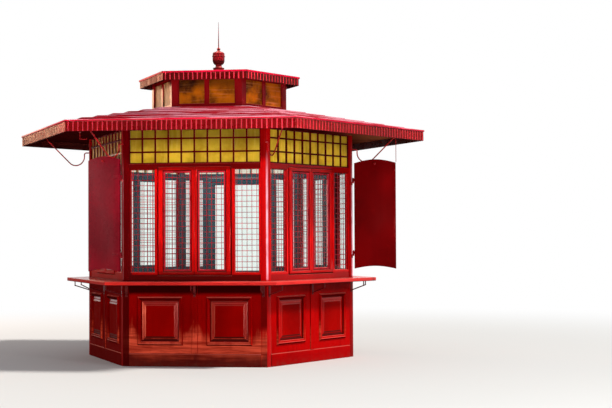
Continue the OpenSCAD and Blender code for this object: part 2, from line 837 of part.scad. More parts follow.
// Low six-sided roof over the lantern, hollow below
module lantern_roof() {
    rise = lantern_roof_rise;
    color(DEEP_RED) difference() {
        union() {
            translate([0, 0, lantern_roof_z0])
                cylinder(h = roof_t, r = corner(lantern_roof_a), $fn = SIDES);
            translate([0, 0, lantern_roof_z0 + roof_t])
                cylinder(h = rise, r1 = corner(lantern_roof_a), r2 = finial_foot_r * 1.2, $fn = SIDES);
        }
        translate([0, 0, lantern_roof_z0 - 1])
            cylinder(h = rise, r1 = corner(lantern_a - lantern_d),
                     r2 = finial_foot_r, $fn = SIDES);
    }
}

// Turned foot: a flared base, a ring and a neck
module finial_foot() {
    h = finial_foot_h - fit_gap;
    base = 0.94 * finial_foot_r;
    flare = [for (t = [0 : 15 : 90])
        [finial_ring_r + (base - finial_ring_r) * (1 - sin(t)), h * (0.12 + 0.38 * (1 - cos(t)))]];
    cove = [for (t = [0 : 15 : 90])
        [finial_neck_r + (finial_ring_r - finial_neck_r) * (1 - sin(t)),
         h * (0.6 + 0.25 * (1 - cos(t)))]];
    color(RED) translate([0, 0, finial_z]) rotate_extrude()
        polygon(concat([[0, 0], [finial_foot_r, 0], [finial_foot_r, 0.12 * h]], flare,
                [[finial_ring_r + 5, 0.5 * h], [finial_ring_r + 5, 0.6 * h]], cove,
                [[finial_neck_r, h], [0, h]]));
}

// Turned urn: a rounded bowl, a bead around the body and a round shoulder
module finial_urn() {
    z0 = finial_z + finial_foot_h;
    bead = 5;
    bowl = [for (t = [0 : 15 : 90])
        [finial_neck_r + (urn_r - finial_neck_r) * sin(t), 0.42 * urn_h * (1 - cos(t))]];
    shoulder = [for (t = [0 : 15 : 90])
        [urn_r * (0.5 + 0.48 * cos(t)), urn_h * (0.84 + 0.16 * sin(t))]];
    color(RED) translate([0, 0, z0]) rotate_extrude()
        polygon(concat([[0, 0]], bowl, [[urn_r, 0.6 * urn_h], [urn_r + bead, 0.62 * urn_h],
                [urn_r + bead, 0.67 * urn_h], [urn_r, 0.69 * urn_h]], shoulder, [[0, urn_h]]));
}

// Spike with a cone and a round knob at its foot
module finial_spike() {
    z0 = finial_z + finial_foot_h + urn_h + fit_gap;
    r = 0.3 * urn_r;
    knob = [for (t = [-50 : 20 : 70])
        [r * cos(t), knob_h * (0.68 + 0.32 * sin(t) / sin(70))]];
    color(IRON) translate([0, 0, z0]) rotate_extrude()
        polygon(concat([[0, 0], [0.48 * urn_r, 0], [0.22 * urn_r, 0.35 * knob_h]], knob,
                [[7, knob_h + 8], [2, knob_h + spike_h - 6], [0, knob_h + spike_h]]));
}

// Moves a leaf drawn from its hinge pin along +X, with its outer face at -Y,
// to the right-hand end of side i, turned outward by open degrees
module on_pin(i, open) {
    on_side(i) translate([wall_r / 2 - pin_in, -pin_out, 0]) rotate([0, 0, 180 + open]) children();
}

// Outline of a leaf with its curved upper and lower edges
module leaf_outline() {
    steps = 16;
    u = [for (k = [0 : steps]) leaf_edge + leaf_w * k / steps];
    bow = [for (k = [0 : steps]) sin(180 * k / steps)];
    polygon(concat([for (k = [0 : steps]) [u[k], leaf_z0 + leaf_hollow * bow[k]]],
                   [for (k = [steps : -1 : 0]) [u[k], leaf_z1 + leaf_arch * bow[k]]]));
}

// Strap and eye that hang a leaf on its pin
module leaf_hinge(z) {
    strap_l = 120;
    strap_t = 5;
    difference() {
        union() {
            translate([0, 0, z]) cylinder(h = eye_h, r = eye_r);
            block([0, leaf_edge + strap_l], [leaf_t / 2, leaf_t / 2 + strap_t],
                  [z + 5, z + eye_h - 5]);
            block([0, leaf_edge], [0, leaf_t / 2 + strap_t], [z + 5, z + eye_h - 5]);
        }
        translate([0, 0, z - over]) cylinder(h = eye_h + 2 * over, r = pin_d / 2 + pin_play);
    }
}

module shutter_leaf() {
    translate([0, leaf_t / 2, 0]) rotate([90, 0, 0]) linear_extrude(leaf_t) leaf_outline();
    for (z = pin_z) leaf_hinge(z);
}

// Knob on each face of a leaf, near the top of its middle
module leaf_knobs() {
    z = leaf_z1 + leaf_arch - 60;
    for (s = [-1, 1])
        translate([leaf_edge + leaf_w / 2, s * leaf_t / 2, z]) rotate([-s * 90, 0, 0])
            rotate_extrude() polygon([[0, 0], [14, 0], [14, 3], [6, 6], [6, 14],
                                      [13, 20], [13, 28], [7, 34], [0, 35]]);
}

module shutter_right() {
    color(RED) on_pin(FRONT_RIGHT, right_open) shutter_leaf();
}

module shutter_right_knobs() {
    color(IRON) on_pin(FRONT_RIGHT, right_open) leaf_knobs();
}

module shutter_left() {
    color(DEEP_RED) on_pin(FRONT_LEFT, left_open) shutter_leaf();
}

module shutter_left_knobs() {
    color(IRON) on_pin(FRONT_LEFT, left_open) leaf_knobs();
}

// Post plates with an upright pin that each eye drops over
module shutter_pins() {
    plate_t = 5;
    plate_half = 12;
    play = 0.3;
    color(IRON) for (i = [FRONT_RIGHT, FRONT_LEFT], z = pin_z)
        on_side(i) translate([wall_r / 2 - pin_in, 0, 0]) {
            block([-2 * plate_half, plate_half], [-plate_t, 0], [z - 45, z - play]);
            block([-plate_half / 2, plate_half / 2], [-pin_out, 0], [z - 20, z - play]);
            translate([0, -pin_out, z - 20]) cylinder(h = 20 - play, r = eye_r);
            translate([0, -pin_out, z - 20]) cylinder(h = 20 + eye_h + 6, d = pin_d);
        }
}

// Rod that hangs from a round plate under the soffit, with its rounded end at z
module soffit_rod(z, rod_d) {
    rose_t = 4;
    translate([0, 0, z]) cylinder(h = soffit_z - z, d = rod_d);
    translate([0, 0, z]) sphere(d = rod_d);
    translate([0, 0, soffit_z - rose_t]) cylinder(h = rose_t, r = 2 * rod_d);
}

// Stay beside the right leaf's upper corner, and a hook on the left side
module shutter_stays() {
    rod_d = 8;
    hook_drop = 95;
    hook_arm = 88;
    hook_rise = 20;
    color(IRON) {
        on_pin(FRONT_RIGHT, right_open) translate([leaf_edge + leaf_w + 5, 0, 0])
            soffit_rod(leaf_z1 + 12, rod_d);
        on_side(FRONT_LEFT) translate([hook_u, -hook_out, 0]) rotate([0, 0, hook_turn]) {
            soffit_rod(soffit_z - hook_drop, rod_d);
            translate([0, 0, soffit_z - hook_drop]) {
                rotate([0, 90, 0]) cylinder(h = hook_arm, d = rod_d);
                translate([hook_arm, 0, 0]) {
                    sphere(d = rod_d);
                    cylinder(h = hook_rise, d = rod_d);
                }
            }
        }
    }
}

floor_bearers();
floor_boards();
plinth_boards();
corner_posts();
wainscot(FRONT);  // wainscot_front
wainscot(FRONT_RIGHT);  // wainscot_front_right
wainscot(BACK_RIGHT);  // wainscot_back_right
wainscot_beside_door();  // wainscot_back
wainscot(BACK_LEFT);  // wainscot_back_left
wainscot(FRONT_LEFT);  // wainscot_front_left
counter_boards();
counter_irons();
window_frames();
window_sashes();
window_panes();
frieze_bars();
frieze_glass();
door_frame();
door_leaf();
door_glass();
door_hinges();
door_handle();
wall_plates();
hip_rafters();
soffit_boards();
eaves_boards();
eaves_irons();
roof_slopes();
lantern_kerb();
lantern_posts();
lantern_frames();
lantern_panes();
lantern_plates();
lantern_soffit();
lantern_eaves();
lantern_roof();
finial_foot();
finial_urn();
finial_spike();
shutter_pins();
shutter_right();
shutter_right_knobs();
shutter_left();
shutter_left_knobs();
shutter_stays();
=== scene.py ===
"""Six-sided street kiosk in red gloss paint: the finishes, and the wire screens, beads, frieze
panes and screws that its joiner and its smith would add to the frame that the CAD model gives.

Lengths are metres. The origin is on the kiosk's axis at ground level, +Z is up and the front
side faces -Y. A side's own frame has u along the side, y inwards from the wall's face and z up.
Side 0 is the front. The count goes round to its right.
"""

import math

import bmesh
import bpy
from mathutils import Matrix, Vector


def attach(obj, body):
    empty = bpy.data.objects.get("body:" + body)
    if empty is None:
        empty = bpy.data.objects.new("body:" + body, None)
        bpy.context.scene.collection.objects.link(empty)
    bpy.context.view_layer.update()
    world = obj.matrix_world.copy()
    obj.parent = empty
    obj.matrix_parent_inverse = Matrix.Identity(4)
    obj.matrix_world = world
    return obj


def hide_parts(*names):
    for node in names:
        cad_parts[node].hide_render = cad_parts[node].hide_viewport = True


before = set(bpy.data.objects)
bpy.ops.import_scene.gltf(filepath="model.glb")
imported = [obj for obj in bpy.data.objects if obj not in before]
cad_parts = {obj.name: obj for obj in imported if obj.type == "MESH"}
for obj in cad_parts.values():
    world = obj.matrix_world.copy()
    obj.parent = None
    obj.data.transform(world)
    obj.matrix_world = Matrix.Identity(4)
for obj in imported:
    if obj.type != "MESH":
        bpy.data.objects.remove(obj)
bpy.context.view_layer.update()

# Sizes that the CAD source gives: the plan and the heights
COS_30 = math.cos(math.radians(30))
WALL_R = 1.820
POST_W = 0.076
FIT_GAP = 0.0001
APOTHEM = WALL_R * COS_30
BAY = WALL_R / 2 - POST_W - FIT_GAP
PLINTH_H = 0.161
COUNTER_Z = 1.060
COUNTER_T = 0.047
HEAD_Z = 2.520
SERVING_SIDES = (0, 1, 2, 4, 5)
DOOR_SIDE = 3

# Windows and panels. A span along u runs from a side's middle to its right.
SILL_H = 0.105
HEAD_H = 0.070
FRAME_EDGE = 0.020
LIGHT_W = 0.310
MULLION_W = 0.034
SHADOW_W = 0.014
STILE_W = 0.054
MEETING_W = 0.032
SASH_FOOT = 0.034
SASH_HEAD = 0.044
SASH_GAP = 0.003
LEDGE = 0.024
LEDGE_BACK = 0.012
LIGHT = (BAY - FRAME_EDGE - LIGHT_W, BAY - FRAME_EDGE)
LIGHT_Z = (COUNTER_Z + SILL_H, HEAD_Z - HEAD_H)
LIGHT_PANE = 0.034
DOOR_LIGHT = (LIGHT[0] + 2 * FRAME_EDGE, LIGHT[1])
PAIR_U = LIGHT[0] - MULLION_W - SHADOW_W
PAIR_Z = (LIGHT_Z[0] - 0.026, LIGHT_Z[1] + 0.030)
SASH = (SASH_GAP / 2 + MEETING_W + LEDGE, PAIR_U - STILE_W - LEDGE)
SASH_Z = (PAIR_Z[0] + SASH_FOOT + LEDGE, PAIR_Z[1] - SASH_HEAD - LEDGE)
SASH_PANE = 0.020
PANEL_MID = 0.150
PANEL_EDGE = 0.110
PANEL_FOOT = 0.104
PANEL_HEAD = 0.148
PANEL = (PANEL_MID, BAY - PANEL_EDGE)
PANEL_Z = (PLINTH_H + PANEL_FOOT, COUNTER_Z - COUNTER_T - PANEL_HEAD)
NARROW = (BAY - LIGHT_W * 5 / 6, BAY - LIGHT_W / 6)
MOULDING = 0.045

# Frieze
FRIEZE_H = 0.435
BAR_W = 0.015
LOW_BAR_Z = HEAD_Z + 0.146
HIGH_BAR_Z = LOW_BAR_Z + 0.168
FRIEZE_COLUMNS = 10
FRIEZE_EDGE = BAR_W - 0.001
FRIEZE_PITCH = (2 * BAY - 2 * FRIEZE_EDGE + BAR_W) / FRIEZE_COLUMNS
FRIEZE_ROWS = (
    (HEAD_Z + BAR_W, LOW_BAR_Z - BAR_W / 2),
    (LOW_BAR_Z + BAR_W / 2, HIGH_BAR_Z - BAR_W / 2),
    (HIGH_BAR_Z + BAR_W / 2, HEAD_Z + FRIEZE_H - BAR_W),
)

# Shutter leaves: each one's side, and how many degrees it stands open at rest
LEAVES = {"right_leaf": (1, 115.0), "left_leaf": (5, 30.0)}
PIN_IN = 0.014
PIN_OUT = 0.022
LEAF_EDGE = 0.0153
LEAF_T = 0.022
LEAF_Z = (COUNTER_Z + 0.115, HEAD_Z + 0.065)
STRAP_Z = (LEAF_Z[0] + 0.190, LEAF_Z[1] - 0.250)

# Eaves, roof and lantern
EAVES_OUT = 0.834
SOFFIT_UP = 0.454
SOFFIT_T = 0.016
ROOF_LAP = 0.006
COURSES = 7
LANTERN_R = 0.930
LANTERN_OUT = 0.155
EAVE = APOTHEM + EAVES_OUT
EAVES_TOP = HEAD_Z + SOFFIT_UP + SOFFIT_T
LANTERN_EAVE = LANTERN_R * COS_30 + LANTERN_OUT
ROOF_EDGE = EAVE + ROOF_LAP
COURSE_RUN = (ROOF_EDGE - LANTERN_R * COS_30) / COURSES

# The photograph's width and focal length in pixels, and where its camera stood
PHOTO_W = 612
FOCAL = 1323.9
EYE = (3.513, -17.672, 1.603)
STAND, TURN, PITCH, ROLL = (math.radians(a) for a in (11.244, 3.759, 1.4168, 0.2643))


def outward(i):
    """The way that side i faces."""
    turn = math.radians(60 * i)
    return (math.sin(turn), -math.cos(turn), 0)


FRONT, RIGHT, LEFT = outward(0), outward(1), outward(5)


# Camera, light and floor


def linked(name, data):
    """New object in the scene."""
    item = bpy.data.objects.new(name, data)
    bpy.context.scene.collection.objects.link(item)
    return item


def set_camera():
    """The photograph's viewpoint: eye height, 18 m off, a little to the right of the front side."""
    camera = linked("viewpoint", bpy.data.cameras.new("viewpoint"))
    bpy.context.scene.camera = camera
    camera.data.sensor_width = 36.0
    camera.data.lens = 36.0 * FOCAL / PHOTO_W
    camera.data.clip_end = 200.0
    to_kiosk = Vector((-math.sin(STAND), math.cos(STAND), 0))
    across = Vector((math.cos(STAND), math.sin(STAND), 0))
    ahead = to_kiosk * math.cos(TURN) + across * math.sin(TURN)
    right = across * math.cos(TURN) - to_kiosk * math.sin(TURN)
    forward = ahead * math.cos(PITCH) + Vector((0, 0, 1)) * math.sin(PITCH)
    up = right.cross(forward)
    tilted_right = right * math.cos(ROLL) - up * math.sin(ROLL)
    tilted_up = right * math.sin(ROLL) + up * math.cos(ROLL)
    axes = Matrix((tilted_right, tilted_up, -forward)).transposed()
    camera.matrix_world = Matrix.Translation(EYE) @ axes.to_4x4()


def area_lamp(name, place, target, size, watts, colour, spread=180):
    lamp = bpy.data.lights.new(name, "AREA")
    lamp.spread = math.radians(spread)
    lamp.shape = "DISK"
    lamp.size = size
    lamp.energy = watts
    lamp.color = colour
    aim = (Vector(target) - Vector(place)).to_track_quat("-Z", "Y")
    linked(name, lamp).matrix_world = Matrix.Translation(place) @ aim.to_matrix().to_4x4()


def seen_directly(tree):
    """1 for rays from the eye, by way of glass and gloss too, and 0 for light that only fills."""
    ray = add(tree, "LightPath").outputs
    bent = maths(tree, "MAXIMUM", ray["Is Glossy Ray"], ray["Is Transmission Ray"])
    return maths(tree, "MAXIMUM", ray["Is Camera Ray"], bent)


def set_light():
    """Soft daylight from a pale sky, with a broad key from the right and weak fills."""
    scene = bpy.context.scene
    scene.view_settings.view_transform = "Standard"
    scene.world = bpy.data.worlds.new("sky")
    scene.world.use_nodes = True
    tree = scene.world.node_tree
    tree.nodes.clear()
    sky = add(tree, "Background", Color=(0.86, 0.92, 1.0, 1), Strength=0.42)
    white = add(tree, "Background", Color=(1, 1, 1, 1), Strength=1.0)
    both = blended(tree, seen_directly(tree), sky, white)
    add(tree, "OutputWorld", Surface=both.outputs[0])

    sun = bpy.data.lights.new("key", "SUN")
    sun.energy = 3.2
    sun.angle = math.radians(7)
    sun.color = (1.0, 0.96, 0.9)
    side, height = math.radians(88), math.radians(50)
    level = math.cos(height)
    towards = Vector((math.sin(side) * level, -math.cos(side) * level, math.sin(height)))
    linked("key", sun).matrix_world = towards.to_track_quat("Z", "Y").to_matrix().to_4x4()
    area_lamp("right_fill", (9.0, -8.9, 2.3), (0.6, -1, 2.2), 1.0, 240, (1.0, 0.97, 0.93))
    area_lamp("left_fill", (-6.5, -10.1, 0.55), (0, -1.2, 0.6), 0.8, 240, (1.0, 0.62, 0.36))
    area_lamp("left_glow", (-10.5, 8.0, 4.9), (-2, 0, 3), 3.6, 260, (1.0, 0.54, 0.28))
    area_lamp("low_fill", (2, -13, 0.8), (0, -1.5, 3.1), 3.0, 46, (1.0, 0.96, 0.9), 24)


def lay_floor():
    """Pale floor that goes over into the white background."""
    mesh = bpy.data.meshes.new("floor")
    reach = 60.0
    corners = [(-reach, -reach, 0), (reach, -reach, 0), (reach, reach, 0), (-reach, reach, 0)]
    mesh.from_pydata(corners, [], [(0, 1, 2, 3)])
    floor = linked("floor", mesh)
    material, tree, shader = new_material("pale_floor")
    shader.inputs["Roughness"].default_value = 0.95
    shader.inputs["Specular IOR Level"].default_value = 0.0
    seen = seen_directly(tree)
    tone = mixed(tree, seen, (0.34, 0.34, 0.34), (0.72, 0.72, 0.71))
    tree.links.new(tone, shader.inputs["Base Color"])
    away = vector_maths(tree, "LENGTH", place_of(tree))
    white = add(tree, "Emission", Color=(1, 1, 1, 1), Strength=1.0)
    far = times(tree, ramp(tree, away, 5.0, 13.0), seen)
    set_surface(tree, blended(tree, far, shader, white))
    mesh.materials.append(material)


# Node building


def add(tree, kind, settings=None, **inputs):
    """New node with its settings, and its inputs linked or filled. A kind with no Node in its
    name is a shader node. An input is named with _ for a space, or i and its number."""
    node = tree.nodes.new(kind if "Node" in kind else "ShaderNode" + kind)
    for key, value in (settings or {}).items():
        setattr(node, key, value)
    for key, value in inputs.items():
        numbered = key[0] == "i" and key[1:].isdigit()
        socket = node.inputs[int(key[1:]) if numbered else key.replace("_", " ")]
        if isinstance(value, bpy.types.NodeSocket):
            tree.links.new(value, socket)
        else:
            socket.default_value = value
    return node


def maths(tree, operation, a, b=0.0, clamp=False):
    return add(tree, "Math", {"operation": operation, "use_clamp": clamp}, i0=a, i1=b).outputs[0]


def times(tree, a, b):
    return maths(tree, "MULTIPLY", a, b)


def plus(tree, a, b, clamp=False):
    return maths(tree, "ADD", a, b, clamp)


def vector_maths(tree, operation, a, b=(0, 0, 0)):
    """A number for a length, a distance or a dot product, else a vector."""
    node = add(tree, "VectorMath", {"operation": operation}, i0=a, i1=b)
    return node.outputs["Value" if operation in ("LENGTH", "DISTANCE", "DOT_PRODUCT") else 0]


def ramp(tree, value, low, high, to_low=0.0, to_high=1.0, kind="SMOOTHSTEP"):
    settings = {"interpolation_type": kind}
    limits = {"From_Min": low, "From_Max": high, "To_Min": to_low, "To_Max": to_high}
    return add(tree, "MapRange", settings, Value=value, **limits).outputs["Result"]


def mixed(tree, factor, a, b, blend="MIX"):
    """Colour between a and b, which are sockets or (red, green, blue)."""
    a, b = ((*c, 1) if isinstance(c, tuple) else c for c in (a, b))
    settings = {"data_type": "RGBA", "blend_type": blend}
    return add(tree, "Mix", settings, i0=factor, i6=a, i7=b).outputs[2]


def blended(tree, share, a, b):
    """Shader node between two others."""
    return add(tree, "MixShader", i0=share, i1=a.outputs[0], i2=b.outputs[0])


def scaled(colour, factor):
    return tuple(c * factor for c in colour)


def place_of(tree):
    return add(tree, "TexCoord").outputs["Object"]


def level_place(tree):
    return vector_maths(tree, "MULTIPLY", place_of(tree), (1, 1, 0))


def along(tree, axis):
    """A point's coordinate on one axis."""
    return add(tree, "SeparateXYZ", Vector=place_of(tree)).outputs[axis]


def noise(tree, scale, move=(0, 0, 0), detail=3.0, roughness=0.55):
    """Noise whose scale is one number, or one for each axis."""
    scale = scale if isinstance(scale, tuple) else (scale, scale, scale)
    vector = add(tree, "Mapping", Vector=place_of(tree), Scale=scale, Location=move).outputs[0]
    return textured(tree, vector, detail, roughness)


def textured(tree, vector, detail, roughness):
    grade = {"Scale": 1.0, "Detail": detail, "Roughness": roughness}
    return add(tree, "TexNoise", Vector=vector, **grade).outputs["Fac"]


def facing_way(tree, way):
    """How nearly a face looks that way, from -1 to 1."""
    return vector_maths(tree, "DOT_PRODUCT", add(tree, "NewGeometry").outputs["True Normal"], way)


def on_right(tree, elsewhere=0.0, there=1.0):
    """One value on the faces that look to the front right, and one elsewhere."""
    return ramp(tree, facing_way(tree, RIGHT), 0.8, 0.95, elsewhere, there)


def on_left(tree, strength):
    """A value on the faces that look to the front left, and 0 elsewhere."""
    return ramp(tree, facing_way(tree, LEFT), 0.75, 0.9, 0.0, strength)


def inward_facing(tree):
    """1 on faces that look into the room, 0 elsewhere."""
    away = vector_maths(tree, "NORMALIZE", level_place(tree))
    return ramp(tree, facing_way(tree, away), -0.6, -0.7)


def wall_depth(tree):
    """How far a point lies behind the wall's face, on whichever side it is."""
    place = place_of(tree)
    furthest = 0.0
    for i in range(3):
        out = maths(tree, "ABSOLUTE", vector_maths(tree, "DOT_PRODUCT", place, outward(i)))
        furthest = maths(tree, "MAXIMUM", out, furthest)
    return maths(tree, "SUBTRACT", APOTHEM, furthest)


def down_slope(tree):
    """Level distances on a roof slope: across it, and out from the axis to its eaves."""
    place = place_of(tree)
    out, across = 0.0, 0.0
    for i in range(3):
        x, y, z = outward(i)
        reach = maths(tree, "ABSOLUTE", vector_maths(tree, "DOT_PRODUCT", place, (x, y, z)))
        here = vector_maths(tree, "DOT_PRODUCT", place, (-y, x, z))
        nearer = maths(tree, "GREATER_THAN", reach, out)
        across = add(tree, "Mix", {"data_type": "FLOAT"}, i0=nearer, i2=across, i3=here).outputs[0]
        out = maths(tree, "MAXIMUM", reach, out)
    return across, out


# Finishes

# Scales of brush marks that run up a board, along it, or neither way
UPRIGHT = (34.0, 34.0, 1.2)
LEVEL = (1.0, 1.0, 60.0)
EVEN = (3, 3, 3)

RED = (0.35, 0.0009, 0.0011)
DEEP_RED = (0.27, 0.0010, 0.0014)
LEAF_RED = (0.26, 0.0015, 0.003)
ROOF_RED = (0.40, 0.0035, 0.013)
# Pale of dust and of the painted highlight on faces that look up
DUST_AND_HIGHLIGHT_TONE = (0.95, 0.20, 0.16)
# Bright foot tone: fresh scuffs, and a painted reflection of the lit ground
BRIGHT_FOOT_TONE = (0.80, 0.100, 0.050)
OLD_SCUFF = (0.32, 0.026, 0.012)
DAMP_TONE = (0.07, 0.003, 0.005)
SPLASH_TONE = (0.10, 0.045, 0.032)
# Pale pink of the painted highlight along the posts' arrises
ARRIS_HIGHLIGHT_TONE = (1.0, 0.47, 0.58)
# Tan of the painted reflection of a warm wall on the left
TAN_REFLECTION = (0.30, 0.105, 0.052)
UNDER_EAVES = (0.05, 0.006, 0.005)
ROOM_DARK = (0.010, 0.105, 0.17)
ROOM_PALE = (0.032, 0.19, 0.27)
RUST = (0.13, 0.045, 0.018)


def new_material(name):
    material = bpy.data.materials.new(name)
    material.use_nodes = True
    tree = material.node_tree
    return material, tree, next(n for n in tree.nodes if n.type == "BSDF_PRINCIPLED")


def set_surface(tree, node):
    output = next(n for n in tree.nodes if n.type == "OUTPUT_MATERIAL")
    tree.links.new(node.outputs[0], output.inputs["Surface"])


def dress(tree, shader, tone, rough, shine, relief=None):
    """Gives a shader its tone, roughness and gloss, and its relief as (height, depth, strength)."""
    tree.links.new(tone, shader.inputs["Base Color"])
    tree.links.new(rough, shader.inputs["Roughness"])
    shader.inputs["Specular IOR Level"].default_value = shine
    if relief:
        height, depth, strength = relief
        bump = add(tree, "Bump", Strength=strength, Distance=depth, Height=height)
        tree.links.new(bump.outputs["Normal"], shader.inputs["Normal"])


def weathered_roof(name, courses):
    """Painted roof boards: rain has streaked them down the slope. Each lap's edge has a painted
    highlight, and each course a painted shadow where it goes in under the next."""
    material, tree, shader = new_material(name)
    across, out = down_slope(tree)
    run = add(tree, "CombineXYZ", X=times(tree, across, 16.0), Y=times(tree, out, 1.6))
    streak = textured(tree, run.outputs[0], 5.0, 0.6)
    broad = noise(tree, 0.8, (1, 5, 2), 4.0)
    patch = noise(tree, 5.0, (6, 1, 2), 5.0, 0.65)
    streak_tone = (ROOF_RED[0] * 0.45, 0.012, 0.012)
    tone = mixed(tree, ramp(tree, broad, 0.35, 0.65), scaled(ROOF_RED, 0.6), ROOF_RED)
    tone = mixed(tree, ramp(tree, streak, 0.48, 0.75, 0.0, 0.55), tone, streak_tone)
    tone = mixed(tree, ramp(tree, streak, 0.44, 0.25, 0.0, 0.4), tone, (0.60, 0.075, 0.075))
    tone = mixed(tree, ramp(tree, patch, 0.6, 0.8, 0.0, 0.5), tone, (0.16, 0.045, 0.030))
    if courses:
        # Painted shadow where each course goes in under the next, and a painted highlight along
        # each lap's edge
        from_edge = maths(tree, "SUBTRACT", ROOF_EDGE, out)
        up = maths(tree, "FRACT", maths(tree, "DIVIDE", from_edge, COURSE_RUN))
        tone = mixed(tree, ramp(tree, up, 0.72, 1.0, 0.0, 0.75), tone, (0.06, 0.006, 0.006))
        tone = mixed(tree, ramp(tree, up, 0.10, 0.0, 0.0, 0.4), tone, (0.66, 0.085, 0.095))
    relief = (plus(tree, streak, times(tree, patch, 0.4)), 0.0015, 0.35)
    dress(tree, shader, tone, ramp(tree, patch, 0.3, 0.8, 0.42, 0.7), 0.12, relief)
    shader.inputs["Specular Tint"].default_value = (1.0, 0.4, 0.36, 1)
    return material


def highlighted_edge(name, colour, worn_and_lit):
    """Arris of a lapped course, paler in runs along it as a painted highlight."""
    material, tree, shader = new_material(name)
    runs = noise(tree, (1.1, 1.1, 21.0), (2, 2, 7), 4.0, 0.6)
    chips = noise(tree, 30.0, (0, 4, 4), 4.0, 0.6)
    tone = mixed(tree, ramp(tree, runs, 0.44, 0.53), colour, worn_and_lit)
    tone = mixed(tree, ramp(tree, chips, 0.55, 0.75, 0.0, 0.5), tone, colour)
    dress(tree, shader, tone, ramp(tree, chips, 0.3, 0.7, 0.35, 0.6), 0.2)
    return material


def scuffed_and_lit_foot(tree, tone, rough, foot, foot_brightness):
    """The zone that feet scuff on the front, lightened also as a painted reflection of the lit
    ground, and what the ground's damp and splashes leave.
    """
    z = along(tree, "Z")
    wander = noise(tree, (6, 6, 2.2), (2, 8, 1), 4.0)
    wander = ramp(tree, wander, 0.25, 0.75, -0.12, 0.12, "LINEAR")
    x = maths(tree, "ABSOLUTE", along(tree, "X"))
    tips = maths(tree, "MAXIMUM", ramp(tree, x, 0.12, 0.0), ramp(tree, x, 0.72, 0.86))
    lick = noise(tree, (22, 22, 1.5), (5, 1, 6), 3.0, 0.6)
    lick = ramp(tree, lick, 0.3, 0.7, 0.0, 0.22, "LINEAR")
    wander = maths(tree, "SUBTRACT", wander, times(tree, tips, lick))
    on_front = ramp(tree, facing_way(tree, FRONT), 0.75, 0.9, 0.0, 0.85)
    foot_zone = times(tree, ramp(tree, plus(tree, z, wander), foot + 0.06, foot - 0.16), on_front)
    worn_and_lit = ramp(tree, noise(tree, (2.2, 2.2, 30), (1, 2, 3), 4.0, 0.6), 0.35, 0.7)
    foot_tones = mixed(tree, worn_and_lit, scaled(BRIGHT_FOOT_TONE, foot_brightness), scaled(OLD_SCUFF, foot_brightness))
    tone = mixed(tree, foot_zone, tone, foot_tones)
    damp = ramp(tree, plus(tree, z, times(tree, wander, 0.3)), 0.17, 0.05, 0.0, 0.8)
    damp = times(tree, damp, ramp(tree, on_front, 0.0, 0.8, 0.25, 1.0))
    tone = mixed(tree, damp, tone, DAMP_TONE)
    drops = ramp(tree, noise(tree, 17.0, (5, 5, 1), 5.0, 0.7), 0.4, 0.75, 0.0, 0.5)
    splash = times(tree, ramp(tree, z, 0.10, 0.0), drops)
    tone = mixed(tree, splash, tone, SPLASH_TONE)
    return tone, plus(tree, rough, times(tree, plus(tree, foot_zone, splash, True), 0.2))


def painted_arris_highlight(tree, tone, low, high, pale):
    """Painted highlight along the corner arrises between two heights, most at the front's right."""
    z = along(tree, "Z")
    zone = times(tree, ramp(tree, z, low, low + 0.03), ramp(tree, z, high, high - 0.5))
    zone = times(tree, zone, ramp(tree, along(tree, "X"), -0.6, 0.6, 0.2, 1.0))
    reach = vector_maths(tree, "LENGTH", level_place(tree))
    off_front = ramp(tree, facing_way(tree, FRONT), 0.97, 0.9)
    beside = times(tree, ramp(tree, reach, WALL_R - 0.016, WALL_R - 0.010), off_front)
    edge = ramp(tree, reach, WALL_R - 0.005, WALL_R - 0.003)
    zone = times(tree, zone, maths(tree, "MAXIMUM", beside, edge))
    patchy = ramp(tree, noise(tree, 5, (3, 3, 1), 4.0, 0.6), 0.3, 0.6, 0.55, 1.0)
    return mixed(tree, times(tree, zone, patchy), tone, pale)


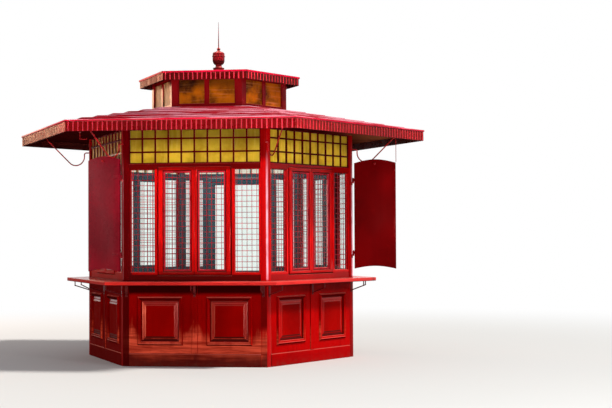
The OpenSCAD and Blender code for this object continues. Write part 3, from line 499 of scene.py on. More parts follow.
def painted_timber(
    name, colour, grain=UPRIGHT, gloss=0.24, move=(0, 0, 0), shine=0.16, tinge=0.16, brushed=0.3,
    foot=0.0, foot_brightness=1.0, recess_shade=None, shade_bands=(), leaf_shade_reach=None, shadow=None, arris_highlight=None,
    sunlit_gain=1.0, left_shade_and_matt=0.9, left_reflection=None, dust_and_top_highlight=0.45, room=False, lit_right_end=None, under=None,
):
    """Oil paint brushed over planed boards.

    grain, gloss, move: the run of the brush marks, the roughness and the shift of the noise
    shine, tinge: the gloss coat's strength, and how far its colour is from red to white
    brushed: the depth of the brush marks
    foot, foot_brightness: how high the zone of scuffs and painted ground reflection reaches, and
    how bright it is
    recess_shade: (depth where the painted shade starts, depth where it is full, strength) behind
    the wall's face
    shade_bands: (height, height, strength) of bands of painted shade, half as much on the sunlit
    right
    leaf_shade_reach: how far the painted shade that the left leaf casts reaches from the post
    beside it
    shadow: (height, height, strength) of a painted shadow that the counter casts on the front faces
    arris_highlight: (height, height, tone) of the painted highlight along the arrises
    sunlit_gain: how much brighter the paint is on the right, as painted sunlight
    left_shade_and_matt: how far the left is darkened as painted shade of the eaves, and made matt
    left_reflection: the tone of a painted reflection of a warm wall on the faces that look left
    dust_and_top_highlight: how pale the faces that look up are, as dust and a painted highlight,
    while those that look down get painted shade
    room: whether the faces that look into the room have the room's paint
    lit_right_end: the tone of painted light at the kiosk's right end
    under: the tone of the faces that look inwards
    """
    material, tree, shader = new_material(name)
    broad = noise(tree, 0.9, move, 3.0)
    mottle = noise(tree, 7.5, move, 5.0, 0.6)
    strands = noise(tree, grain, move, 4.0, 0.6)
    brush = noise(tree, scaled(grain, 3.1), (3, 5, 7), 3.0, 0.6)
    warm = (min(1, colour[0] * 1.18), colour[1] * 1.7, colour[2])
    tone = mixed(tree, ramp(tree, broad, 0.34, 0.66), scaled(colour, 0.55), colour)
    tone = mixed(tree, ramp(tree, mottle, 0.5, 0.85, 0.0, 0.3), tone, warm)
    tone = mixed(tree, ramp(tree, strands, 0.5, 0.8, 0.0, 0.5), tone, scaled(colour, 0.5))
    rough = ramp(tree, mottle, 0.3, 0.75, gloss * 0.85, gloss * 1.4)
    if foot:
        tone, rough = scuffed_and_lit_foot(tree, tone, rough, foot, foot_brightness)
    # Painted shade in the recesses behind the wall's face, where the paint is also rougher
    if recess_shade:
        recessed = ramp(tree, wall_depth(tree), recess_shade[0], recess_shade[1], 0.0, recess_shade[2])
        tone = mixed(tree, recessed, tone, scaled(colour, 0.05))
        rough = plus(tree, rough, times(tree, recessed, 0.35))
    # Bands of painted shade at given heights, half as much on the sunlit right
    for low, high, strength in shade_bands:
        shade_share = ramp(tree, along(tree, "Z"), low, high, 0.0, strength)
        shade_share = times(tree, shade_share, on_right(tree, 1.0, 0.5))
        tone = mixed(tree, shade_share, tone, (colour[0] * 0.07, 0.0, 0.0))
    # Painted shade that the open left leaf casts round the front-left post
    if leaf_shade_reach:
        post = (-WALL_R / 2, -APOTHEM, 0)
        away = vector_maths(tree, "DISTANCE", level_place(tree), post)
        shade_share = ramp(tree, away, leaf_shade_reach, leaf_shade_reach - 0.015, 0.0, 0.92)
        tone = mixed(tree, shade_share, tone, (colour[0] * 0.12, 0.0, 0.001))
    # Painted shadow of the counter on the faces that look to the front
    if shadow:
        z = along(tree, "Z")
        low, high, strength = shadow
        zone = times(tree, ramp(tree, z, low, low + 0.12), ramp(tree, z, high + 0.01, high))
        zone = times(tree, zone, ramp(tree, facing_way(tree, FRONT), 0.9, 0.98))
        tone = mixed(tree, times(tree, zone, strength), tone, (colour[0] * 0.13, 0.0, 0.0))
    # Painted highlight along the corner arrises
    if arris_highlight:
        tone = painted_arris_highlight(tree, tone, *arris_highlight)
    # Painted sunlight on the faces that look to the front right
    if sunlit_gain != 1.0:
        brighter = mixed(tree, 1.0, tone, (sunlit_gain, sunlit_gain * 0.5, sunlit_gain * 0.5), "MULTIPLY")
        tone = mixed(tree, on_right(tree), tone, brighter)
    # Painted shade on the faces that look to the front left, which are also made matt
    if left_shade_and_matt:
        left_shading = on_left(tree, left_shade_and_matt)
        tone = mixed(tree, left_shading, tone, scaled(colour, 0.45))
        rough = plus(tree, rough, times(tree, left_shading, 0.6), True)
    # Painted reflection of a warm wall on the faces that look to the front left
    if left_reflection:
        tone = mixed(tree, on_left(tree, 0.85), tone, left_reflection)
    # Dust and a painted highlight on faces that look up, and painted shade on those that look down
    if dust_and_top_highlight:
        up = facing_way(tree, (0, 0, 1))
        tone = mixed(tree, ramp(tree, up, 0.1, 0.6, 0.0, dust_and_top_highlight), tone, DUST_AND_HIGHLIGHT_TONE)
        painted_shade_share = ramp(tree, up, -0.08, -0.17)
        tone = mixed(tree, times(tree, painted_shade_share, 0.85), tone, scaled(colour, 0.06))
        rough = plus(tree, rough, times(tree, painted_shade_share, 0.6), True)
    if room:
        walls = mixed(tree, ramp(tree, broad, 0.35, 0.65), ROOM_DARK, ROOM_PALE)
        tone = mixed(tree, inward_facing(tree), tone, walls)
    # Painted light at the kiosk's right end, in streaks
    if lit_right_end:
        share = ramp(tree, along(tree, "X"), 1.5, 2.2)
        share = times(tree, share, ramp(tree, strands, 0.3, 0.6, 0.4, 1.0))
        tone = mixed(tree, share, tone, lit_right_end)
    if under:
        tone = mixed(tree, inward_facing(tree), tone, under)
    height = plus(tree, times(tree, strands, 0.7), times(tree, brush, 0.3))
    dress(tree, shader, tone, rough, shine, (height, 0.0014, brushed))
    shader.inputs["Specular Tint"].default_value = (1.0, tinge, tinge * 0.9, 1)
    return material


def bare_timber(name, colour, grain):
    """Sawn softwood, greyed a little, with darker growth rings along the board."""
    material, tree, shader = new_material(name)
    rings = noise(tree, grain, (0, 0, 0), 5.0, 0.6)
    stain = noise(tree, 2.2, (4, 4, 4), 4.0)
    tone = mixed(tree, ramp(tree, rings, 0.35, 0.7), colour, scaled(colour, 0.5))
    tone = mixed(tree, ramp(tree, stain, 0.45, 0.75, 0.0, 0.5), tone, (0.16, 0.13, 0.1))
    dress(tree, shader, tone, ramp(tree, rings, 0.3, 0.7, 0.62, 0.82), 0.5, (rings, 0.002, 0.5))
    return material


def painted_iron(name, colour, rust=0.25):
    """Smith's bar under thick paint, with rust coming through in spots."""
    material, tree, shader = new_material(name)
    spots = noise(tree, 42.0, (1, 6, 2), 5.0, 0.65)
    broad = noise(tree, 7.0, (0, 3, 0), 3.0)
    eaten = ramp(tree, spots, 0.62, 0.7, 0.0, rust)
    tone = mixed(tree, ramp(tree, broad, 0.3, 0.7), scaled(colour, 0.55), colour)
    tone = mixed(tree, eaten, tone, RUST)
    rough = plus(tree, times(tree, eaten, 1.2), ramp(tree, broad, 0.3, 0.7, 0.26, 0.4))
    dress(tree, shader, tone, rough, 0.14, (spots, 0.001, 0.4))
    return material


def window_glass(name):
    """Thin clear pane: what is behind it, with the sky's reflection stronger at a slant."""
    material, tree, shader = new_material(name)
    tree.nodes.remove(shader)
    waves = noise(tree, 1.6, (7, 0, 2), 2.0)
    bump = add(tree, "Bump", Strength=0.12, Distance=0.004, Height=waves).outputs["Normal"]
    clear = add(tree, "BsdfTransparent", Color=(0.95, 0.975, 0.965, 1))
    shine = add(tree, "BsdfGlossy", Color=(1, 1, 1, 1), Roughness=0.03, Normal=bump)
    slant = maths(tree, "POWER", add(tree, "LayerWeight", Blend=0.5).outputs["Facing"], 5.0)
    share = plus(tree, times(tree, slant, 0.9), 0.012, True)
    set_surface(tree, blended(tree, share, clear, shine))
    return material


def cast_glass(name, colour, shade, eaves_shade_heights, across, through_share):
    """Obscured coloured glass with streaks from the rollers and a pebbled face. eaves_shade_heights
    is the height where the panes are clear of painted shade, and the height where the painted shade
    of the eaves is full. Painted sunlight brightens them on the right, and a painted warm
    reflection tints them on the left. across is how the streaks run, and through_share how much
    light comes through."""
    material, tree, shader = new_material(name)
    melt = noise(tree, 3.4, (3, 1, 8), 4.0, 0.6)
    grain = noise(tree, 55, (0, 0, 0), 5.0, 0.65)
    streak = noise(tree, across, (6, 2, 0), 3.0, 0.5)
    pale = tuple(min(1, c * 1.25 + 0.08) for c in colour)
    tone = mixed(tree, ramp(tree, melt, 0.36, 0.66), colour, shade)
    tone = mixed(tree, ramp(tree, streak, 0.5, 0.8, 0.0, 0.45), tone, pale)
    tone = mixed(tree, ramp(tree, grain, 0.5, 0.75, 0.0, 0.3), tone, shade)
    # Painted shade of the eaves on the upper panes, half as much on the right, and painted sunlight
    # on the right
    height = plus(tree, along(tree, "Z"), times(tree, melt, 0.1))
    sunlit_share = on_right(tree)
    painted_shade_share = ramp(tree, height, eaves_shade_heights[0], eaves_shade_heights[1], 0.0, 0.72)
    painted_shade_share = times(tree, painted_shade_share, maths(tree, "SUBTRACT", 1.0, times(tree, sunlit_share, 0.5)))
    tone = mixed(tree, painted_shade_share, tone, scaled(shade, 0.22))
    tone = mixed(tree, sunlit_share, tone, mixed(tree, 1.0, tone, (1.5, 1.5, 1.6), "MULTIPLY"))
    # Painted warm reflection on the panes that look to the front left
    tone = mixed(tree, on_left(tree, 0.6), tone, (0.85, 0.50, 0.24))
    relief = (plus(tree, grain, times(tree, streak, 0.6)), 0.0015, 0.5)
    dress(tree, shader, tone, ramp(tree, grain, 0.3, 0.7, 0.18, 0.4), 0.05, relief)
    glow = add(tree, "BsdfTranslucent", Color=tone)
    clear = add(tree, "BsdfTransparent", Color=(1.0, 0.97, 0.9, 1))
    outer = blended(tree, through_share, shader, glow)
    set_surface(tree, blended(tree, times(tree, inward_facing(tree), 0.85), outer, clear))
    return material


wall_paint = painted_timber(
    "wall_paint", RED, foot=0.40, room=True, recess_shade=(0.009, 0.0148, 0.85),
    shade_bands=[(0.87, 0.93, 0.98)], shine=0.02, sunlit_gain=1.45, foot_brightness=1.25,
)
field_paint = painted_timber(
    "field_paint", (0.42, 0.0012, 0.0006), gloss=0.26, move=(2, 6, 1), shine=0.012
)
bevel_paint = painted_timber(
    "bevel_paint", (0.38, 0.003, 0.001), gloss=0.2, move=(2, 6, 1),
    recess_shade=(0.0045, 0.0066, 0.9), shine=0.4, tinge=0.3, sunlit_gain=1.5, left_shade_and_matt=0,
)
post_paint = painted_timber(
    "post_paint", (0.60, 0.003, 0.004), gloss=0.18, foot=0.34, move=(4, 4, 0), room=True,
    shine=0.07, shade_bands=[(2.50, 2.62, 0.75)], leaf_shade_reach=0.2, shadow=(0.40, 1.03, 0.75),
    arris_highlight=(COUNTER_Z, 2.70, ARRIS_HIGHLIGHT_TONE),
)
plinth_paint = painted_timber(
    "plinth_paint", DEEP_RED, LEVEL, 0.28, foot=0.36, shine=0.015, sunlit_gain=1.8, foot_brightness=0.62
)
frame_paint = painted_timber(
    "frame_paint", (0.74, 0.0025, 0.003), gloss=0.18, move=(1, 7, 3), room=True,
    recess_shade=(0.013, 0.025, 0.97), shade_bands=[(1.15, 1.13, 0.93), (2.44, 2.46, 0.9)], leaf_shade_reach=0.125,
)
sash_paint = painted_timber(
    "sash_paint", (0.80, 0.004, 0.004), gloss=0.16, move=(5, 2, 3), room=True,
    recess_shade=(0.002, 0.010, 0.97), shade_bands=[(1.19, 1.17, 0.55), (2.42, 2.45, 0.7)],
)
bead_paint = painted_timber(
    "bead_paint", (0.70, 0.012, 0.016), gloss=0.2, move=(3, 3, 3), room=True
)
lantern_paint = painted_timber(
    "lantern_paint", (0.20, 0.003, 0.005), gloss=0.2, move=(1, 7, 3), room=True, shine=0.1,
    left_shade_and_matt=0,
)
# Very dark paint on the frieze's bars and their beads, as painted shade of the eaves
shaded_bar_paint = painted_timber(
    "shaded_bar_paint", (0.10, 0.001, 0.003), gloss=0.25, move=(1, 7, 3), room=True, shine=0.05,
    dust_and_top_highlight=0, left_shade_and_matt=0,
)
counter_paint = painted_timber("counter_paint", (0.84, 0.030, 0.026), LEVEL, 0.2)
ribbed = {"gloss": 0.26, "shine": 0.3, "left_shade_and_matt": 0, "brushed": 0.06, "left_reflection": TAN_REFLECTION}
eaves_paint = painted_timber(
    "eaves_paint", (0.165, 0.0004, 0.002), sunlit_gain=1.4, under=UNDER_EAVES, **ribbed
)
# Paler paint on the eaves' cover strips, as a painted highlight along them
strip_highlight_paint = painted_timber("strip_highlight_paint", (0.62, 0.026, 0.055), sunlit_gain=1.4, **ribbed)
lantern_eaves_paint = painted_timber(
    "lantern_eaves_paint", (0.075, 0.0002, 0.001), under=UNDER_EAVES, **ribbed
)
soffit_paint = painted_timber(
    "soffit_paint", (0.060, 0.004, 0.004), LEVEL, 0.6, shine=0.0, dust_and_top_highlight=0,
    lit_right_end=(0.36, 0.11, 0.045),
)
roof_paint = weathered_roof("roof_paint", True)
lantern_roof_paint = weathered_roof("lantern_roof_paint", False)
# Pale pink on the courses' arrises as a painted highlight
course_highlight_paint = highlighted_edge("course_highlight_paint", (0.48, 0.002, 0.018), (1.0, 0.46, 0.58))
edge_paint = painted_timber(
    "edge_paint", (0.72, 0.0015, 0.036), EVEN, 0.4, shine=0.08, tinge=0.3, dust_and_top_highlight=0, left_shade_and_matt=0
)
butt_paint = painted_timber(
    "butt_paint", (0.50, 0.0006, 0.016), EVEN, 0.4, shine=0.05, dust_and_top_highlight=0, left_shade_and_matt=0
)
door_paint = painted_timber(
    "door_paint", LEAF_RED, gloss=0.2, move=(8, 2, 5), room=True, shine=0.08, left_shade_and_matt=0
)
leaf_paint = painted_timber(
    "leaf_paint", LEAF_RED, gloss=0.2, move=(8, 2, 5), shine=0.08, left_shade_and_matt=0
)
# Copy of the leaf paint for the shaded left leaf, bluer as a painted reflection of the sky
shaded_leaf_paint = painted_timber(
    "shaded_leaf_paint", (0.30, 0.0035, 0.018), gloss=0.26, move=(8, 2, 5), shine=0.12,
    tinge=0.4, left_shade_and_matt=0,
)
turned_paint = painted_timber("turned_paint", (0.22, 0.003, 0.008), LEVEL, 0.16, shine=0.5)
rough_boards = bare_timber("rough_boards", (0.42, 0.27, 0.15), (2.0, 26.0, 26.0))
rafters_timber = bare_timber("rafters_timber", (0.36, 0.24, 0.14), (16.0, 16.0, 16.0))
red_iron = painted_iron("red_iron", (0.44, 0.008, 0.011))
counter_iron = painted_iron("counter_iron", (0.17, 0.004, 0.006), 0.15)
dark_iron = painted_iron("dark_iron", (0.024, 0.006, 0.006), 0.4)
screen_wire = painted_iron("screen_wire", (0.55, 0.006, 0.022), 0.1)
clear_glass = window_glass("clear_glass")
yellow_glass = cast_glass(
    "yellow_glass", (0.77, 0.55, 0.042), (0.50, 0.32, 0.014), (2.64, 2.93), (30, 30, 2.5), 0.5
)
amber_glass = cast_glass(
    "amber_glass", (0.46, 0.115, 0.0002), (0.045, 0.0065, 0.0001), (3.50, 3.66),
    (2.5, 2.5, 45), 0.35,
)


# Mesh building

# Points of a CAD mesh this near are one, joints this flat go, and sharper edges are planed
WELD = 2e-5
FLAT_ANGLE = math.radians(0.6)
SHARP_ANGLE = math.radians(34)
# How far a roof's upright faces and its arrises with the painted highlight look up, at most
UPRIGHT_SLANT = 0.2
ARRIS_SLANT = 0.8


def finished_piece(name, mesh, material, body="root"):
    """A piece at the origin that rides on a body and takes its finish as its material."""
    piece = linked(name, mesh)
    mesh.materials.clear()
    mesh.materials.append(material)
    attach(piece, body)
    return piece


def side_frame(i, u=0.0, y=0.0, z=0.0):
    """Places a shape drawn in a side's own frame on side i."""
    turn = Matrix.Rotation(math.radians(60 * i), 4, "Z")
    return turn @ Matrix.Translation((u, y - APOTHEM, z))


def all_round(mesh):
    """The same shape on each of the six sides."""
    return [(mesh, side_frame(i)) for i in range(6)]


def leaf_frame(body):
    """Places a shape drawn from a leaf's hinge pin along +X at the leaf's place at rest."""
    side, opened = LEAVES[body]
    pin = side_frame(side, WALL_R / 2 - PIN_IN, -PIN_OUT)
    return pin @ Matrix.Rotation(math.radians(180 + opened), 4, "Z")


def planed(node, width, material, segments=1, body="root", others=()):
    """Stands for a CAD piece with its sharp edges taken off, as a joiner leaves them for paint.
    others are (material, test) for the faces that take another finish."""
    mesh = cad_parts[node].data.copy()
    work = bmesh.new()
    work.from_mesh(mesh)
    bmesh.ops.remove_doubles(work, verts=work.verts, dist=WELD)
    bmesh.ops.dissolve_limit(work, angle_limit=FLAT_ANGLE, verts=work.verts, edges=work.edges)
    edges = [e for e in work.edges if len(e.link_faces) == 2]
    sharp = [e for e in edges if e.calc_face_angle(0) > SHARP_ANGLE]
    flat = set(work.faces)
    bmesh.ops.bevel(
        work, geom=sharp, offset=width, offset_type="OFFSET", segments=segments, profile=0.5,
        affect="EDGES", clamp_overlap=True,
    )
    choice = []
    for face in work.faces:
        face.smooth = segments > 1 and face not in flat
        choice.append(next((k for k, (_, test) in enumerate(others, 1) if test(face)), 0))
    work.to_mesh(mesh)
    work.free()
    piece = finished_piece("planed_" + node, mesh, material, body)
    for other, _ in others:
        mesh.materials.append(other)
    mesh.polygons.foreach_set("material_index", choice)
    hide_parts(node)
    return piece


def how_far_out(face):
    """A face's distance from the axis, along the way that it faces."""
    centre = face.calc_center_median()
    return centre.x * face.normal.x + centre.y * face.normal.y


def strip_face(apothem):
    """Picks the outer faces of the cover strips on an eaves board that far from the axis."""
    return lambda face: abs(face.normal.z) < 0.1 and how_far_out(face) > apothem - 0.0035


def on_roof(face):
    return face.calc_center_median().z > EAVES_TOP


def course_arris(face):
    """Picks the arrises along the roof's lapped courses, which take a painted highlight."""
    return UPRIGHT_SLANT < face.normal.z < ARRIS_SLANT and on_roof(face)


def eaves_edge(face):
    """Picks the roof's outer edge, over the eaves boards."""
    return abs(face.normal.z) <= UPRIGHT_SLANT and how_far_out(face) > EAVE


def course_butt(face):
    """Picks the upright edges of the roof's lapped courses."""
    return abs(face.normal.z) <= UPRIGHT_SLANT and on_roof(face)


def joined(name, parts, material):
    """One piece from a list of (mesh, matrix)."""
    work = bmesh.new()
    for mesh, place in parts:
        start = len(work.verts)
        work.from_mesh(mesh)
        work.verts.ensure_lookup_table()
        bmesh.ops.transform(work, matrix=place, verts=work.verts[start:])
    mesh = bpy.data.meshes.new(name)
    work.to_mesh(mesh)
    work.free()
    return finished_piece(name, mesh, material)


def mitred(u, z, profile, panel=False):
    """Shape round a rectangle in a side's frame, from points that are (distance inwards, y). It
    is a bead with that section, or a panel that has a flat back and ends in a flat face."""
    work = bmesh.new()
    rings = []
    for inset, y in profile:
        left, right, low, high = u[0] + inset, u[1] - inset, z[0] + inset, z[1] - inset
        corners = ((left, low), (right, low), (right, high), (left, high))
        rings.append([work.verts.new((cu, y, cz)) for cu, cz in corners])
    following = rings[1:] if panel else rings[1:] + rings[:1]
    for ring, after in zip(rings, following):
        for c in range(4):
            n = (c + 1) % 4
            work.faces.new((ring[c], ring[n], after[n], after[c]))
    if panel:
        work.faces.new(rings[0][::-1])
        work.faces.new(rings[-1])
    bmesh.ops.recalc_face_normals(work, faces=work.faces)
    mesh = bpy.data.meshes.new("panel" if panel else "bead")
    work.to_mesh(mesh)
    work.free()
    return mesh


# Geometry Nodes


def new_tree(name, sizes):
    """Geometry node tree with named sizes, and the material that it sets, as its inputs."""
    tree = bpy.data.node_groups.new(name, "GeometryNodeTree")
    face = tree.interface
    face.new_socket("Geometry", in_out="INPUT", socket_type="NodeSocketGeometry")
    for label, value in sizes.items():
        socket = face.new_socket(label, in_out="INPUT", socket_type="NodeSocketFloat")
        socket.default_value = value
    face.new_socket("Material", in_out="INPUT", socket_type="NodeSocketMaterial")
    face.new_socket("Geometry", in_out="OUTPUT", socket_type="NodeSocketGeometry")
    return tree, tree.nodes.new("NodeGroupInput"), tree.nodes.new("NodeGroupOutput")


def finish_tree(tree, start, end, geometry):
    real = add(tree, "GeometryNodeRealizeInstances", Geometry=geometry).outputs[0]
    material = start.outputs["Material"]
    coated = add(tree, "GeometryNodeSetMaterial", Geometry=real, Material=material)
    tree.links.new(coated.outputs[0], end.inputs[0])


def grown(tree, material, carrier, **sizes):
    """Plain mesh that a tree makes on a carrier mesh with these sizes."""
    holder = linked("holder", carrier)
    modifier = holder.modifiers.new("made", "NODES")
    modifier.node_group = tree
    keys = {s.name: s.identifier for s in tree.interface.items_tree if s.in_out == "INPUT"}
    modifier[keys["Material"]] = material
    for label, value in sizes.items():
        modifier[keys[label]] = value
    holder.update_tag()
    graph = bpy.context.evaluated_depsgraph_get()
    mesh = bpy.data.meshes.new_from_object(holder.evaluated_get(graph), depsgraph=graph)
    bpy.data.objects.remove(holder)
    return mesh


def wire_screen_tree():
    """Welded screen: upright wires, and level wires behind them."""
    sizes = {"Width": 0.3, "Height": 1.2, "Pitch across": 0.062, "Pitch up": 0.068, "Wire": 0.0065}
    tree, start, end = new_tree("wire_screen", sizes)
    size = start.outputs

    def row(axis, span, pitch, length):
        """Wires of that length, set out over a span along an axis."""
        count = maths(tree, "FLOOR", maths(tree, "DIVIDE", span, pitch))
        filled = times(tree, maths(tree, "SUBTRACT", count, 1.0), pitch)
        first = add(tree, "CombineXYZ", **{axis: times(tree, filled, -0.5)}).outputs[0]
        gap = add(tree, "CombineXYZ", **{axis: pitch}).outputs[0]
        line = add(
            tree, "GeometryNodeMeshLine", {"mode": "OFFSET"},
            Count=count, Start_Location=first, Offset=gap,
        ).outputs[0]
        radius = times(tree, size["Wire"], 0.5)
        wire = add(tree, "GeometryNodeMeshCylinder", Vertices=6, Radius=radius, Depth=length)
        wire = wire.outputs["Mesh"]
        return add(tree, "GeometryNodeInstanceOnPoints", Points=line, Instance=wire)

    upright = row("X", size["Width"], size["Pitch across"], size["Height"])
    level = row("Z", size["Height"], size["Pitch up"], size["Width"])
    level.inputs["Rotation"].default_value = (0, math.pi / 2, 0)
    back = add(tree, "CombineXYZ", Y=size["Wire"]).outputs[0]
    moved = add(
        tree, "GeometryNodeTranslateInstances",
        Instances=level.outputs[0], Translation=back, Local_Space=False,
    )
    both = add(tree, "GeometryNodeJoinGeometry")
    tree.links.new(upright.outputs[0], both.inputs[0])
    tree.links.new(moved.outputs[0], both.inputs[0])
    finish_tree(tree, start, end, both.outputs[0])
    return tree


def screw_tree():
    """A low domed head with a turned edge on each point of the carrier, facing the way that the
    point's attribute says."""
    tree, start, end = new_tree("screw_heads", {"Radius": 0.005, "Rise": 0.0022})
    size = start.outputs
    dome = add(tree, "GeometryNodeMeshUVSphere", Segments=10, Rings=6, Radius=1.0).outputs["Mesh"]
    shape = add(tree, "CombineXYZ", X=size["Radius"], Y=size["Radius"], Z=size["Rise"]).outputs[0]
    head = add(tree, "GeometryNodeTransform", Geometry=dome, Scale=shape).outputs[0]
    vector = {"data_type": "FLOAT_VECTOR"}
    facing = add(tree, "GeometryNodeInputNamedAttribute", vector, Name="facing")
    facing = facing.outputs["Attribute"]
    turn = add(tree, "FunctionNodeAlignRotationToVector", {"axis": "Z"}, Vector=facing).outputs[0]
    placed = add(
        tree, "GeometryNodeInstanceOnPoints", Points=size["Geometry"], Instance=head, Rotation=turn
    )
    finish_tree(tree, start, end, placed.outputs[0])
    return tree


def carrier_mesh(points):
    """Mesh of loose points, each with the way that it faces, from a list of (place, facing)."""
    mesh = bpy.data.meshes.new("carrier")
    mesh.from_pydata([p for p, _ in points], [], [])
    way = mesh.attributes.new("facing", "FLOAT_VECTOR", "POINT")
    way.data.foreach_set("vector", [c for _, f in points for c in f])
    return mesh


# Pieces

SIDE_NAMES = ("front", "front_right", "back_right", "back", "back_left", "front_left")
SCREEN_GAP = 0.0115
OVERLAP = 0.0002

# Sections, whose points are (distance inwards, y)
SCREEN_BAR = (
    (-0.012, LEDGE_BACK), (-0.012, 0.0045), (-0.011, 0.0035),
    (0.0035, 0.0035), (0.0045, 0.0045), (0.0045, LEDGE_BACK),
)
GLAZING_BEAD_W = 0.009
GLAZING_BEAD_H = GLAZING_BEAD_W * 1.1

MOULDING_BACK = 0.0066
NOSE_R = 0.0095
NOSE_IN = 0.0155
FIELD_EDGE = MOULDING + 0.0003
FIELD = (
    (FIELD_EDGE, 0.0149), (FIELD_EDGE, 0.0068), (FIELD_EDGE + 0.005, 0.0068),
    (FIELD_EDGE + 0.063, -0.0035), (FIELD_EDGE + 0.063, -0.0056), (FIELD_EDGE + 0.0645, -0.0066),
)
PANE = ((0.0003, 0.0438), (0.0003, 0.0270), (0.0020, 0.0245), (0.0060, 0.0230), (0.0120, 0.0225))
UPRIGHT_BEAD = ((0, 0.0102), (0, 0.0085), (0.003, 0.0070))
LEVEL_BEAD = ((0, 0.0103), (0, 0.0078), (0.003, 0.0062))
FRIEZE_BEAD_W = 0.021

# Screws in the plates under the counter, in the pins' plates and in the leaves' straps
COUNTER_IRONS = ((-0.866, 0.0), (0.0, 0.010), (0.866, 0.0))
IRON_SCREWS_Z = (0.878, 0.915, 0.985)
IRON_PLATE = 0.0061
PIN_PLATE = 0.005
PIN_SCREWS = (-0.018, 0.006)
PIN_SCREWS_DOWN = 0.038
STRAP = 0.005
STRAP_SCREWS = (0.030, 0.070, 0.115)
STRAP_SCREWS_UP = 0.025


def clothe_frame():
    """Gives every CAD piece its finish, and planes the edges of the boards that show."""
    for side in SIDE_NAMES:
        planed("wainscot_" + side, 0.0018, wall_paint)
    planed("corner_posts", 0.004, post_paint, segments=2)
    planed("plinth_boards", 0.003, plinth_paint)
    planed("counter_boards", 0.006, counter_paint, segments=3)
    planed("window_frames", 0.002, frame_paint)
    planed("window_sashes", 0.0025, sash_paint, segments=2)
    planed("frieze_bars", 0.002, shaded_bar_paint)
    planed("door_frame", 0.003, frame_paint)
    planed("door_leaf", 0.002, door_paint)
    strips = [(strip_highlight_paint, strip_face(EAVE))]
    planed("eaves_boards", 0.0015, eaves_paint, others=strips)
    strips = [(strip_highlight_paint, strip_face(LANTERN_EAVE))]
    planed("lantern_eaves", 0.0015, lantern_eaves_paint, others=strips)
    edges = [(course_highlight_paint, course_arris), (edge_paint, eaves_edge), (butt_paint, course_butt)]
    planed("roof_slopes", 0.006, roof_paint, 2, others=edges)
    edges = [(edge_paint, course_butt)]
    planed("lantern_roof", 0.003, lantern_roof_paint, others=edges)
    planed("lantern_posts", 0.003, lantern_paint)
    planed("lantern_frames", 0.002, lantern_paint)
    planed("shutter_right", 0.0025, leaf_paint, 2, "right_leaf")
    planed("shutter_left", 0.0025, shaded_leaf_paint, 2, "left_leaf")
    finishes = (
        (rough_boards, ("floor_bearers", "floor_boards")),
        (rafters_timber, ("hip_rafters",)),
        (soffit_paint, ("wall_plates", "soffit_boards")),
        (soffit_paint, ("lantern_kerb", "lantern_plates", "lantern_soffit")),
        (counter_iron, ("counter_irons",)),
        (red_iron, ("eaves_irons", "shutter_pins", "shutter_stays")),
        (red_iron, ("shutter_right_knobs", "shutter_left_knobs")),
        (dark_iron, ("door_hinges", "door_handle")),
        (turned_paint, ("finial_foot", "finial_urn", "finial_spike")),
        (clear_glass, ("window_panes", "door_glass")),
        (yellow_glass, ("frieze_glass",)),
        (amber_glass, ("lantern_panes",)),
    )
    finish_of = {name: material for material, names in finishes for name in names}
    for name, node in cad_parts.items():
        node.data.materials.clear()
        node.data.materials.append(finish_of.get(name, wall_paint))


def half_span(sign, span):
    """A span along u from the side's middle, to the left for -1 and to the right for 1."""
    return tuple(sorted((sign * span[0], sign * span[1])))


def window_lights():
    """Each clear light as (side, span along u, span along z, the pane's outer face)."""
    lights = []
    for i in SERVING_SIDES:
        for sign in (-1, 1):
            lights.append((i, half_span(sign, LIGHT), LIGHT_Z, LIGHT_PANE))
            lights.append((i, half_span(sign, SASH), SASH_Z, SASH_PANE))
    for sign in (-1, 1):
        lights.append((DOOR_SIDE, half_span(sign, DOOR_LIGHT), LIGHT_Z, LIGHT_PANE))
    return lights


def hang_screens():
    """Welded wire screens in front of the panes, with bars round those on the sashes."""
    tree = wire_screen_tree()
    made, parts = {}, []
    for i, u, z, pane in window_lights():
        size = (round(u[1] - u[0], 4), round(z[1] - z[0], 4))
        if size not in made:
            empty = bpy.data.meshes.new("empty")
            made[size] = grown(tree, screen_wire, empty, Width=size[0], Height=size[1])
        parts.append((made[size], side_frame(i, sum(u) / 2, pane - SCREEN_GAP, sum(z) / 2)))
    joined("wire_screens", parts, screen_wire)

    parts = []
    for i in SERVING_SIDES:
        for sign in (-1, 1):
            parts.append((mitred(half_span(sign, SASH), SASH_Z, SCREEN_BAR), side_frame(i)))
    joined("screen_frames", parts, screen_wire)


def fix_beads():
    """Ovolo beads that hold the panes."""
    parts = []
    for i, u, z, pane in window_lights():
        ovolo = [(-OVERLAP, pane), (-OVERLAP, pane - GLAZING_BEAD_H)]
        for a in (math.radians(22.5 * k) for k in range(1, 5)):
            ovolo.append((GLAZING_BEAD_W * math.sin(a), pane - GLAZING_BEAD_H * math.cos(a)))
        parts.append((mitred(u, z, ovolo), side_frame(i)))
    joined("glazing_beads", parts, bead_paint)


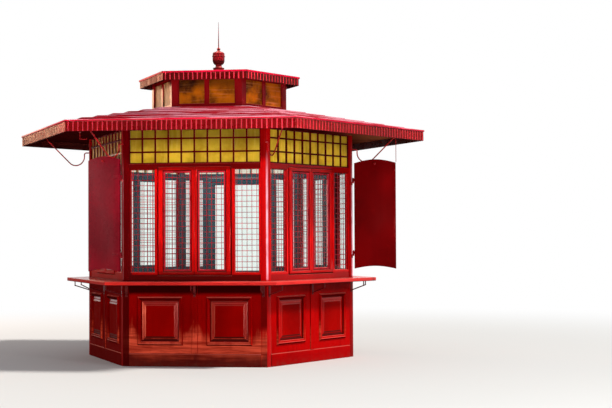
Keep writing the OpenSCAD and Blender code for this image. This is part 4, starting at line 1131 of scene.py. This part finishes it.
def fit_panels():
    """Mouldings planted round the wall panels, and the panels' raised and bevelled fields."""
    section = [(-OVERLAP, MOULDING_BACK), (-OVERLAP, -0.003), (0.0045, -0.0075)]
    for a in (math.radians(25 * k) for k in range(7)):
        section.append((NOSE_IN - NOSE_R * math.cos(a), -0.0150 - NOSE_R * math.sin(a)))
    inner = MOULDING + 0.0005
    section += [(MOULDING - 0.002, -0.0168), (inner, -0.0150), (inner, MOULDING_BACK)]
    mouldings, fields = [], []
    spans = [(i, PANEL) for i in SERVING_SIDES] + [(DOOR_SIDE, NARROW)]
    for i, span in spans:
        for sign in (-1, 1):
            u = half_span(sign, span)
            mouldings.append((mitred(u, PANEL_Z, section), side_frame(i)))
            fields.append((mitred(u, PANEL_Z, FIELD, True), side_frame(i)))
    joined("panel_mouldings", mouldings, wall_paint)
    piece = joined("panel_fields", fields, field_paint)
    piece.data.materials.append(bevel_paint)
    for face in piece.data.polygons:
        flat = max(face.normal.dot(outward(i)) for i in range(6)) > 0.9995
        face.material_index = 0 if flat else 1


def frieze_u(column):
    """Where a column of the frieze's panes starts along a side."""
    return -BAY + FRIEZE_EDGE + column * FRIEZE_PITCH


def set_frieze_panes():
    """Pressed panes in the frieze, with a cushioned face a little behind the bars'."""
    panes = []
    for row in FRIEZE_ROWS:
        for u in (frieze_u(c) for c in range(FRIEZE_COLUMNS)):
            panes += all_round(mitred((u, u + FRIEZE_PITCH - BAR_W), row, PANE, True))
    piece = joined("frieze_panes", panes, yellow_glass)
    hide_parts("frieze_glass")


def cover_frieze_bars():
    """Flat beads over the frieze's bars, a little wider than those. The level ones are prouder."""
    half = FRIEZE_BEAD_W / 2
    whole_height = (FRIEZE_ROWS[0][0], FRIEZE_ROWS[-1][1])
    whole_width = (FRIEZE_EDGE - BAY, BAY - FRIEZE_EDGE)
    beads = []
    for u in (frieze_u(c) - BAR_W / 2 for c in range(1, FRIEZE_COLUMNS)):
        beads += all_round(mitred((u - half, u + half), whole_height, UPRIGHT_BEAD, True))
    for low, high in zip(FRIEZE_ROWS, FRIEZE_ROWS[1:]):
        z = (low[1] + high[0]) / 2
        beads += all_round(mitred(whole_width, (z - half, z + half), LEVEL_BEAD, True))
    joined("frieze_beads", beads, shaded_bar_paint)


def drive_screws():
    """Screw heads in the plates under the counter, the pin plates and the hinge straps."""
    tree = screw_tree()
    points = {"root": [], "right_leaf": [], "left_leaf": []}

    def put(body, place, u, y, z, facing=(0, -1, 0)):
        points[body].append((place @ Vector((u, y, z)), place.to_3x3() @ Vector(facing)))

    for i in SERVING_SIDES:
        for u, proud in COUNTER_IRONS:
            for z in IRON_SCREWS_Z:
                put("root", side_frame(i), u, -proud - IRON_PLATE, z)
    for side, _ in LEAVES.values():
        for z in STRAP_Z:
            for u in PIN_SCREWS:
                here = side_frame(side, WALL_R / 2 - PIN_IN)
                put("root", here, u, -PIN_PLATE, z - PIN_SCREWS_DOWN)
    for body in LEAVES:
        for z in STRAP_Z:
            for u in STRAP_SCREWS:
                here = leaf_frame(body)
                put(body, here, LEAF_EDGE + u, LEAF_T / 2 + STRAP, z + STRAP_SCREWS_UP, (0, 1, 0))
    for body, places in points.items():
        mesh = grown(tree, dark_iron, carrier_mesh(places))
        finished_piece("screws_" + body, mesh, dark_iron, body)


set_camera()
set_light()
lay_floor()
clothe_frame()
hang_screens()
fix_beads()
fit_panels()
set_frieze_panes()
cover_frieze_bars()
drive_screws()
